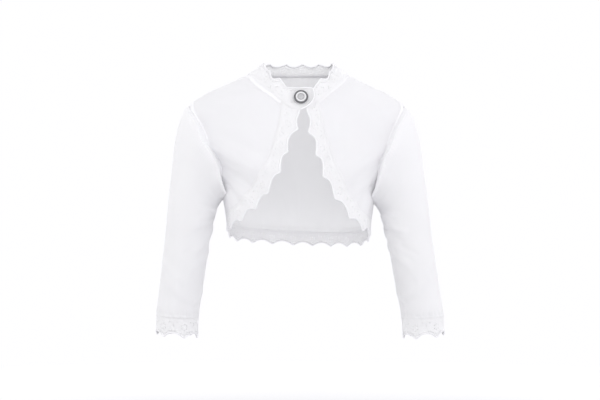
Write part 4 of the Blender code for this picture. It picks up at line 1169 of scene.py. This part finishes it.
KNIT, SLEEVE_KNIT, BACK_KNIT, LACE, BACK_LACE, HEM_LACE = [cloth_material(*row) for row in CLOTHS]
THREAD = thread_material("white_thread", (0.975, 0.972, 0.985), (0.92, 0.916, 0.930))
SILVER = metal_material("dark_silver", (0.36, 0.36, 0.37), (0.12, 0.12, 0.13), 0.38, 900.0)
BRIGHT = metal_material("bright_silver", (0.96, 0.96, 0.96), (0.84, 0.84, 0.85), 0.34, 500.0)
STONE = stone_material("grey_stone", (0.62, 0.62, 0.63), (0.44, 0.44, 0.45))


def finish_piece(obj, node_name):
    """Fix a piece to the body of the part, and hide the part's node that it stands in for."""
    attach(obj, "root")
    if node_name:
        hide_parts(node_name)


def trim_piece(draft, name):
    finish_piece(draft.build(name, THREAD, sharp=60.0), None)


def rim_piece(name, path, outs, **options):
    trim = Draft()
    rim(trim, path, outs, **options)
    trim_piece(trim, name)


def sew(kind, side_name, seams, rows, closed=False):
    """The raised seams and the rows of stitches of a sheet, each kind as one piece.

    A seam is a face of the sheet (its points and normals), a line of its grid, and a size.
    """
    raised = Draft()
    for (points, out), line, size in seams:
        ridge(raised, points[line], out[line], size, closed)
    trim_piece(raised, kind + "_seams" + side_name)
    sewing = Draft()
    for (points, out), line in rows:
        stitches(sewing, points[line], out[line], closed)
    trim_piece(sewing, kind + "_stitches" + side_name)


# Lines of the body's grids: round the armhole and down the side, along the shoulder and the neck
HOLE = slice(ARMHOLE_STEPS + 1)
FLANK = slice(ARMHOLE_STEPS, None)
SHOULDER = slice(SHOULDER_STEPS + 1)
FRONT_NECK = slice(SHOULDER_STEPS, None)
BACK_NECK = slice(SHOULDER_STEPS, -SHOULDER_STEPS)


def build_front(side):
    name = SIDE_NAMES[side]
    grid = front_grid(side)
    points, out = laid_out(FRONT_SURFACE[side], grid)
    front = np.concatenate([points[:, -1], points[-1, ::-1]])
    lines = (points[0, FRONT_NECK], points[0, SHOULDER], points[HOLE, 0], points[FLANK, 0])
    points = settle_seams(points, out, lines)
    points = settle_seams(points, out, (front,), LACE_SEAM_SHARE)
    layers = (points, points - out * KNIT_THICKNESS)
    panel = shell("cloth_front_panel_" + name, layers, body_grain(grid), KNIT)
    finish_piece(panel, "front_panel_" + name)
    outer = (points, out)
    seams = (
        (outer, np.s_[1, FRONT_NECK], NECK_RIDGE[side]),
        (outer, np.s_[0, FRONT_NECK], SEAM_COVER),
        (outer, np.s_[HOLE, ARMHOLE_RIDGE_COLUMN], ARMHOLE_RIDGE),
        (outer, np.s_[0, SHOULDER], FINE_RIDGE),
        (outer, np.s_[:, -1], LACE_SEAM_RIDGE),
        (outer, np.s_[-1, ::-1], LACE_SEAM_RIDGE),
    )
    rows = ((outer, np.s_[HOLE, ARMHOLE_STITCH_COLUMN]), (outer, np.s_[NECK_STITCH_ROW, FRONT_NECK]))
    sew("front", "_" + name, seams, rows)


def build_back():
    grid = back_grid()
    points, out = laid_out(folded_surface, grid)
    lines = (points[0], points[-1], points[HOLE, 0], points[HOLE, -1], points[FLANK, 0], points[FLANK, -1])
    points = settle_seams(points, out, lines)
    inside = points - out * KNIT_THICKNESS
    panel = shell("cloth_back_panel", (points, inside), body_grain(grid), BACK_KNIT)
    finish_piece(panel, "back_panel")
    outer = (points, out)
    inner = (inside, -out)
    seams = (
        (outer, np.s_[HOLE, ARMHOLE_RIDGE_COLUMN], ARMHOLE_RIDGE),
        (outer, np.s_[HOLE, -1 - ARMHOLE_RIDGE_COLUMN], ARMHOLE_RIDGE),
        (outer, np.s_[0, BACK_NECK], BACK_NECK_RIDGE),
        (outer, np.s_[-1], FINE_RIDGE),
        (inner, np.s_[0, BACK_NECK], INNER_NECK_RIDGE),
        (inner, np.s_[-1], HEM_RIDGE),
        (outer, np.s_[FLANK, 0], FINE_RIDGE),
        (outer, np.s_[FLANK, -1], FINE_RIDGE),
    )
    rows = (
        (outer, np.s_[HOLE, ARMHOLE_STITCH_COLUMN]),
        (outer, np.s_[HOLE, -1 - ARMHOLE_STITCH_COLUMN]),
        (outer, np.s_[HEM_STITCH_ROW]),
        (inner, np.s_[HEM_STITCH_ROW]),
    )
    sew("back", "", seams, rows)


def build_sleeve(side):
    name = SIDE_NAMES[side]
    rings, out, turn = sleeve_rings(side)
    ends = [np.concatenate([rings[end], rings[end][:1]]) for end in (0, -1)]
    rings = settle_seams(rings, out, ends)
    across = np.arange(len(turn) + 1) / len(turn) * SLEEVE_GRAIN_WIDTH
    grain = np.stack(np.meshgrid(across, arc_lengths(rings.mean(axis=1))), axis=-1)
    layers = (rings, rings - out * KNIT_THICKNESS)
    sleeve = shell("cloth_sleeve_" + name, layers, grain, SLEEVE_KNIT, closed=True)
    finish_piece(sleeve, "sleeve_" + name)
    outer = (rings, out)
    seams = ((outer, CUFF_BAND_RING, CUFF_RIDGE), (outer, -1, FINE_RIDGE))
    sew("cuff", "_" + name, seams, [(outer, ring_number) for ring_number in CUFF_STITCH_RINGS], closed=True)


# Lace

def scallop_reach(t):
    """How far a scalloped edge reaches out, from 0 in a valley to nearly 1 on its rounded tip."""
    d = abs(2 * t - 1)
    over = max(0.0, d - TIP_ROUNDING)
    return d * d - over * over / (1 - TIP_ROUNDING)


def scallops(tips):
    """Shares of an edge, how far it reaches out there, and the distance from the nearest tip."""
    shares = []
    reach = []
    lobes = []
    for start, end in zip(tips[:-1], tips[1:]):
        for step in range(STEPS_PER_SCALLOP):
            t = step / STEPS_PER_SCALLOP
            shares.append(start + (end - start) * t)
            reach.append(scallop_reach(t))
            lobes.append(t if t <= 0.5 else t - 1)
    return np.array(shares + [tips[-1]]), np.array(reach + [scallop_reach(1.0)]), np.array(lobes + [0.0])


def part_of_scallops(tips):
    """The same as scallops, cut off where the edge begins and ends."""
    shares, reach, lobes = scallops(tips)
    kept = (shares > TIP_MARGIN) & (shares < 1 - TIP_MARGIN)
    inside = np.concatenate([[0.0], shares[kept], [1.0]])
    nearest_lobe = np.abs(shares[None] - inside[:, None]).argmin(axis=1)
    return inside, np.interp(inside, shares, reach), lobes[nearest_lobe]


def lace_grid(seam, edge, tip):
    """Rows of (angle, height) from a seam out to a scalloped edge. tip is the reach at each column."""
    start = plain_surface(seam[:, 0], seam[:, 1])
    end = plain_surface(edge[:, 0], edge[:, 1])
    width = np.linalg.norm(end - start, axis=1)
    stretch = 1 + tip / np.maximum(width, LACE_LEAST_WIDTH)
    rows = np.linspace(0.0, 1.0, LACE_ROWS + 1)
    return np.stack([seam + (edge - seam) * (row * stretch)[:, None] for row in rows])


def lace_relief(lobes, rows):
    """Height of the lace's raised threads over its ground."""
    s = lobes[None, :]
    v = rows[:, None]
    middle, swing, arch_width, arch_height = ARCH_CORD
    arch = (middle - swing * np.cos(2 * np.pi * s), arch_width, arch_height)
    height = sum(size * np.exp(-(((v - level) / half_width) ** 2))
                 for level, half_width, size in (*CORDS, arch))
    threads, begins, rise, fall, size = FAN
    fan = 0.5 + 0.5 * np.cos(2 * np.pi * threads * s)
    height = height + size * fan * ease((v - begins) / rise) * ease((1.0 - v) / fall)
    away = np.hypot(s / FLOWER_HALF_WIDTH, (v - FLOWER_MIDDLE) / FLOWER_HALF_HEIGHT)
    for radius, half_width, size in FLOWER_RINGS:
        height = height + size * np.exp(-(((away - radius) / half_width) ** 2))
    return height


def lace_layers(points, out, lobes):
    """Both faces of a lace band, with its raised threads and a slightly wavy edge."""
    rows = np.linspace(0.0, 1.0, len(points))
    wave = np.cos(2 * np.pi * lobes)[None] * (rows ** 2)[:, None] * RUFFLE
    points = points + out * wave[..., None]
    relief = lace_relief(lobes, rows)[..., None]
    return points + out * relief, points - out * (LACE_THICKNESS + 0.5 * relief)


def punch(layers, lobes, holes, closed=False):
    """Open the holes of the motif. Cells are left out, and a circle is made of the points round them."""
    rows, columns = layers[0].shape[:2]
    cells = columns if closed else columns - 1
    keep = np.ones((rows - 1, cells), bool)
    taken = np.zeros((rows, columns), bool)
    for start in range(columns):
        at_end = not closed and not HOLE_MARGIN <= start < columns - HOLE_MARGIN
        for share, level in holes:
            if abs(lobes[start] - share) > 0.5 / STEPS_PER_SCALLOP - 1e-9:
                continue
            row = int(round(level * (rows - 1)))
            if at_end or not HOLE_MARGIN <= row < rows - HOLE_MARGIN:
                continue
            columns_round = [(start + step) % columns for step in (-1, 0, 1)]
            block = np.ix_(range(row - 1, row + 2), columns_round)
            if taken[block].any():
                continue
            taken[block] = True
            for r in (row - 1, row):
                for c in (start - 1, start):
                    keep[r, c % cells] = False
            for layer in layers:
                centre = layer[row, start].copy()
                away = layer[block] - centre
                away[1, 1] = 0.0
                size = np.linalg.norm(away, axis=2, keepdims=True)
                size[1, 1] = 1.0
                layer[block] = centre + away / size * HOLE_RADIUS
    return keep


def lace_grain(points, closed=False):
    """Grain coordinates of a band, in metres along it and across it."""
    middle = points[len(points) // 2]
    if closed:
        middle = np.concatenate([middle, middle[:1]])
    along = arc_lengths(middle)
    across = running(np.linalg.norm(np.diff(points, axis=0), axis=2).mean(axis=1))
    return np.stack(np.meshgrid(along, across), axis=-1)


def edge_path(layers):
    """Middle of the free edge of a lace, drawn back so that the rim covers the edge."""
    middle = (layers[0] + layers[1]) / 2
    return middle[-1] + unit(middle[-2] - middle[-1]) * RIM_RADIUS * RIM_INSET


def lace_piece(name, points, out, lobes, closed=False, holes=LACE_HOLES, made_of=LACE):
    grain = lace_grain(points, closed)
    layers = lace_layers(points, out, lobes)
    keep = punch(layers, lobes, holes, closed)
    piece = shell("cloth_" + name, layers, grain, made_of, keep, closed)
    finish_piece(piece, name)
    return layers


def build_front_lace(side):
    name = SIDE_NAMES[side]
    shares, reach, lobes = scallops(FRONT_TIPS[side])
    seam = pick(front_line(side, FRONT_SEAM, SIDE_SEAM_FOOT), shares)
    edge = pick(front_line(side, FRONT_EDGE, SIDE_EDGE_FOOT), shares)
    reach = reach * np.minimum(1.0, FRONT_TIP_GROWTH * shares)
    grid = lace_grid(seam, edge, FRONT_TIP * reach)
    neck, corner = neck_seam(side)
    top = even(neck[corner:], LACE_ROWS)
    blend = np.clip(1 - np.arange(len(shares)) / LACE_TOP_COLUMNS, 0.0, 1.0)[None, :, None]
    grid = grid + blend * (top[:, None] - grid[:, :1])
    points, out = laid_out(FRONT_SURFACE[side], grid)
    layers = lace_piece("front_lace_" + name, points, out, lobes, holes=FRONT_HOLES)
    rim_piece("front_rim_" + name, edge_path(layers), out[-1], radius=FRONT_RIM_RADIUS)


def build_back_lace(name, rim_name, seam, edge, edging, tip, made_of):
    """A lace along the back, between the lines of its seam and its edge."""
    shares, reach, lobes = edging
    grid = lace_grid(pick(seam, shares), pick(edge, shares), tip * reach)
    points, out = laid_out(folded_surface, grid)
    layers = lace_piece(name, points, out, lobes, made_of=made_of)
    rim_piece(rim_name, edge_path(layers), out[-1])


def build_neckband_front(side):
    """A front of the neckband: three scallops, a plain run to the centre front, and the tab."""
    name = SIDE_NAMES[side]
    seam, corner = neck_seam(side)
    top_distance, _, top_height = LACE_TOPS[side]
    knots = [(side * SIDE_ANGLE, NECK_EDGE_HEIGHT)]
    knots += [front_point(side, *row) for row in NECK_EDGE_FRONT]
    edge = smooth_line(knots + [front_point(side, top_distance, top_height)])
    last_tip = NECK_LAST_TIP * LINE_STEPS
    shares, reach, lobes = scallops(np.linspace(0.0, 1.0, NECK_FRONT_SCALLOPS + 1))
    front = np.linspace(0.0, 1.0, NECK_FRONT_STEPS + 1)[1:]
    fall = np.interp(front, np.linspace(0.0, 1.0, 5), (scallop_reach(1.0), *NECK_FRONT_REACH))
    tab = np.array([front_point(side, distance, low) + front_point(side, distance, high)
                    for distance, low, high in (LACE_TOPS[side], *TABS[side])])
    keys = np.arange(len(tab), dtype=float)
    at = np.linspace(0.0, len(tab) - 1, TAB_STEPS * (len(tab) - 1) + 1)[1:]
    fine = np.stack([read(keys, tab[:, i], at) for i in range(4)], axis=1)
    seam_runs = (pick(seam[:corner + 1], shares), pick(seam[corner:], front), fine[:, :2])
    edge_runs = (pick(edge[:last_tip + 1], shares), pick(edge[last_tip:], front), fine[:, 2:])
    reach = np.concatenate([reach, fall, np.zeros(len(fine))])
    lobes = np.concatenate([lobes, front / 2, np.full(len(fine), TAB_LOBE)])
    grid = lace_grid(np.concatenate(seam_runs), np.concatenate(edge_runs), NECK_TIP * reach)
    points, out = laid_out(FRONT_SURFACE[side], grid)
    layers = lace_piece("neckband_" + name, points, out, lobes)
    middle = (layers[0] + layers[1]) / 2
    first = -len(fine) - 1
    path = np.concatenate([edge_path(layers)[:-1], middle[::-1, -1], middle[0, first:-1][::-1]])
    outs = np.concatenate([out[-1][:-1], out[::-1, -1], out[0, first:-1][::-1]])
    rim_piece("neck_rim_" + name, path, outs)


def build_cuff_lace(side):
    name = SIDE_NAMES[side]
    shares, reach, lobes = scallops(np.linspace(0.0, 1.0, SCALLOPS_ROUND_CUFF + 1))
    turn = np.radians(180.0 + CUFF_PHASE[side] + 360.0 * shares[:-1])
    reach = reach[:-1]
    lobes = lobes[:-1]
    top = ovals(oval_key(side, SLEEVE_SECTIONS[-1])[None], turn)[0]
    foot = ovals(oval_key(side, CUFF_FOOT)[None], turn)[0]
    down = unit(foot - top)
    edge = foot + down * (CUFF_TIP * reach)[:, None]
    rows = np.linspace(0.0, 1.0, LACE_ROWS + 1)[:, None, None]
    points = top[None] + (edge - top)[None] * rows
    out = sleeve_normals(points, side)
    layers = lace_piece("cuff_lace_" + name, points, out, lobes, closed=True)
    rim_piece("cuff_rim_" + name, edge_path(layers), out[-1], closed=True)


# Button

def face_axes(out):
    """Two directions across a flat face, from the direction it looks."""
    first = np.array(Vector(out).orthogonal().normalized())
    return first, np.cross(out, first)


def ring_round(draft, outline, place, out, segments):
    """A ring turned about the button's axis, from rows of radius as a share and height."""
    first, second = face_axes(out)
    turn = np.arange(segments) * 2 * np.pi / segments
    around = np.cos(turn)[:, None] * first + np.sin(turn)[:, None] * second
    outline = np.array(outline) * (BUTTON_RADIUS, 1.0)
    points = place + around[:, None] * outline[:, :1] + out * outline[:, 1:]
    faces, grain = tube(np.arange(segments + 1) / segments, len(outline), True)
    draft.add(points, faces, grain)


def bead(draft, centre, radius, out):
    """A small round bead."""
    first, second = face_axes(out)
    points = [centre + out * radius]
    for level in np.radians((45.0, 0.0, -45.0)):
        for turn in np.arange(BEAD_SIDES) * 2 * np.pi / BEAD_SIDES:
            around = first * math.cos(turn) + second * math.sin(turn)
            points.append(centre + radius * (out * math.sin(level) + around * math.cos(level)))
    last = len(points)
    points.append(centre - out * radius)
    faces = []
    for k in range(BEAD_SIDES):
        n = (k + 1) % BEAD_SIDES
        faces.append([0, 1 + k, 1 + n])
        for a in (1, 1 + BEAD_SIDES):
            faces.append([a + k, a + BEAD_SIDES + k, a + BEAD_SIDES + n, a + n])
        faces.append([last - BEAD_SIDES + k, last, last - BEAD_SIDES + n])
    draft.add(points, faces, [np.zeros((sum(len(face) for face in faces), 2))])


def build_button():
    angle = np.array([-angle_at(BUTTON_DISTANCE, BUTTON_HEIGHT)])
    height = np.array([BUTTON_HEIGHT])
    out = normals_of(lapped_surface, angle, height)[0]
    place = lapped_surface(angle, height)[0] + out * BUTTON_BACK_GAP
    bezel = Draft()
    ring_round(bezel, BEZEL_OUTLINE, place, out, ROUND_SEGMENTS)
    first, second = face_axes(out)
    count, radius, circle, level = BEADS
    for turn in np.arange(count) * 2 * np.pi / count:
        around = first * math.cos(turn) + second * math.sin(turn)
        bead(bezel, place + around * circle * BUTTON_RADIUS + out * level, radius, out)
    finish_piece(bezel.build("beaded_bezel", SILVER, sharp=35.0), "button_bezel")
    ring_draft = Draft()
    ring_round(ring_draft, RING_OUTLINE, place, out, ROUND_SEGMENTS)
    finish_piece(ring_draft.build("crescent_ring", BRIGHT, sharp=35.0), "button_ring")
    stone = Draft()
    ring_round(stone, STONE_OUTLINE, place, out, STONE_FACETS)
    finish_piece(stone.build("faceted_stone", STONE, sharp=8.0), "button_stone")


# Scene

def build_stage():
    made, tree, shader = new_material("pale_floor", Roughness=FLOOR_ROUGHNESS)
    place = node(tree, "ShaderNodeTexCoord").outputs["Object"]
    centre = (0.0, 0.0, FLOOR_HEIGHT)
    away = node(tree, "ShaderNodeVectorMath", {0: place, 1: centre}, operation="DISTANCE")
    share = maths(tree, "DIVIDE", away.outputs["Value"], FLOOR_RADIUS)
    scale, depth = FLOOR_CLOUDS
    mixed = maths(tree, "MULTIPLY_ADD", noise(tree, scale), depth, share)
    begins, ends = FLOOR_FADE
    # Painted shade: the floor is grey under the jacket and fades to white further away
    ramp = paint(tree, shader, mixed, *FLOOR_WHITE_AND_PAINTED_SHADE, begins / FLOOR_RADIUS, ends / FLOOR_RADIUS)
    ramp.interpolation = "EASE"
    turns = np.arange(FLOOR_SIDES) * 2 * np.pi / FLOOR_SIDES
    corners = [(FLOOR_RADIUS * math.cos(t), FLOOR_RADIUS * math.sin(t), FLOOR_HEIGHT) for t in turns]
    mesh = bpy.data.meshes.new("floor")
    mesh.from_pydata(corners, [], [list(range(FLOOR_SIDES))])
    mesh.materials.append(made)
    floor = bpy.data.objects.new("floor", mesh)
    bpy.context.collection.objects.link(floor)


def add_light(name, place, aim, power, colour):
    light = bpy.data.lights.new(name, "AREA")
    light.shape = "SQUARE"
    light.size = LIGHT_SIZE
    light.energy = power
    light.color = colour
    obj = bpy.data.objects.new(name, light)
    obj.location = place
    obj.rotation_euler = (Vector(aim) - Vector(place)).to_track_quat("-Z", "Y").to_euler()
    bpy.context.collection.objects.link(obj)


def build_light():
    world = bpy.data.worlds.new("studio")
    bpy.context.scene.world = world
    world.use_nodes = True
    background = world.node_tree.nodes["Background"]
    background.inputs["Color"].default_value = WORLD_COLOUR
    background.inputs["Strength"].default_value = WORLD_STRENGTH
    for light in LIGHTS:
        add_light(*light)
    bpy.context.scene.view_settings.view_transform = "Standard"
    bpy.context.scene.view_settings.look = "None"


def build_camera():
    data = bpy.data.cameras.new("camera")
    data.lens = CAMERA_LENS
    data.sensor_width = CAMERA_SENSOR
    camera = bpy.data.objects.new("camera", data)
    camera.location = CAMERA_PLACE
    camera.rotation_euler = (math.radians(90.0), 0.0, 0.0)
    bpy.context.collection.objects.link(camera)
    bpy.context.scene.camera = camera


build_camera()
build_stage()
build_light()
build_back()
build_back_lace("neckband_back", "neck_rim_back", level_back_line(NECK_SIDE_HEIGHT),
                level_back_line(NECK_EDGE_HEIGHT), part_of_scallops(NECK_BACK_TIPS), NECK_TIP, BACK_LACE)
build_back_lace("hem_lace_back", "hem_rim", hem_line(1), hem_line(2), scallops(HEM_TIPS), HEM_TIP,
                HEM_LACE)
for side in (RIGHT, LEFT):
    build_front(side)
    build_sleeve(side)
    build_neckband_front(side)
    build_front_lace(side)
    build_cuff_lace(side)
build_button()
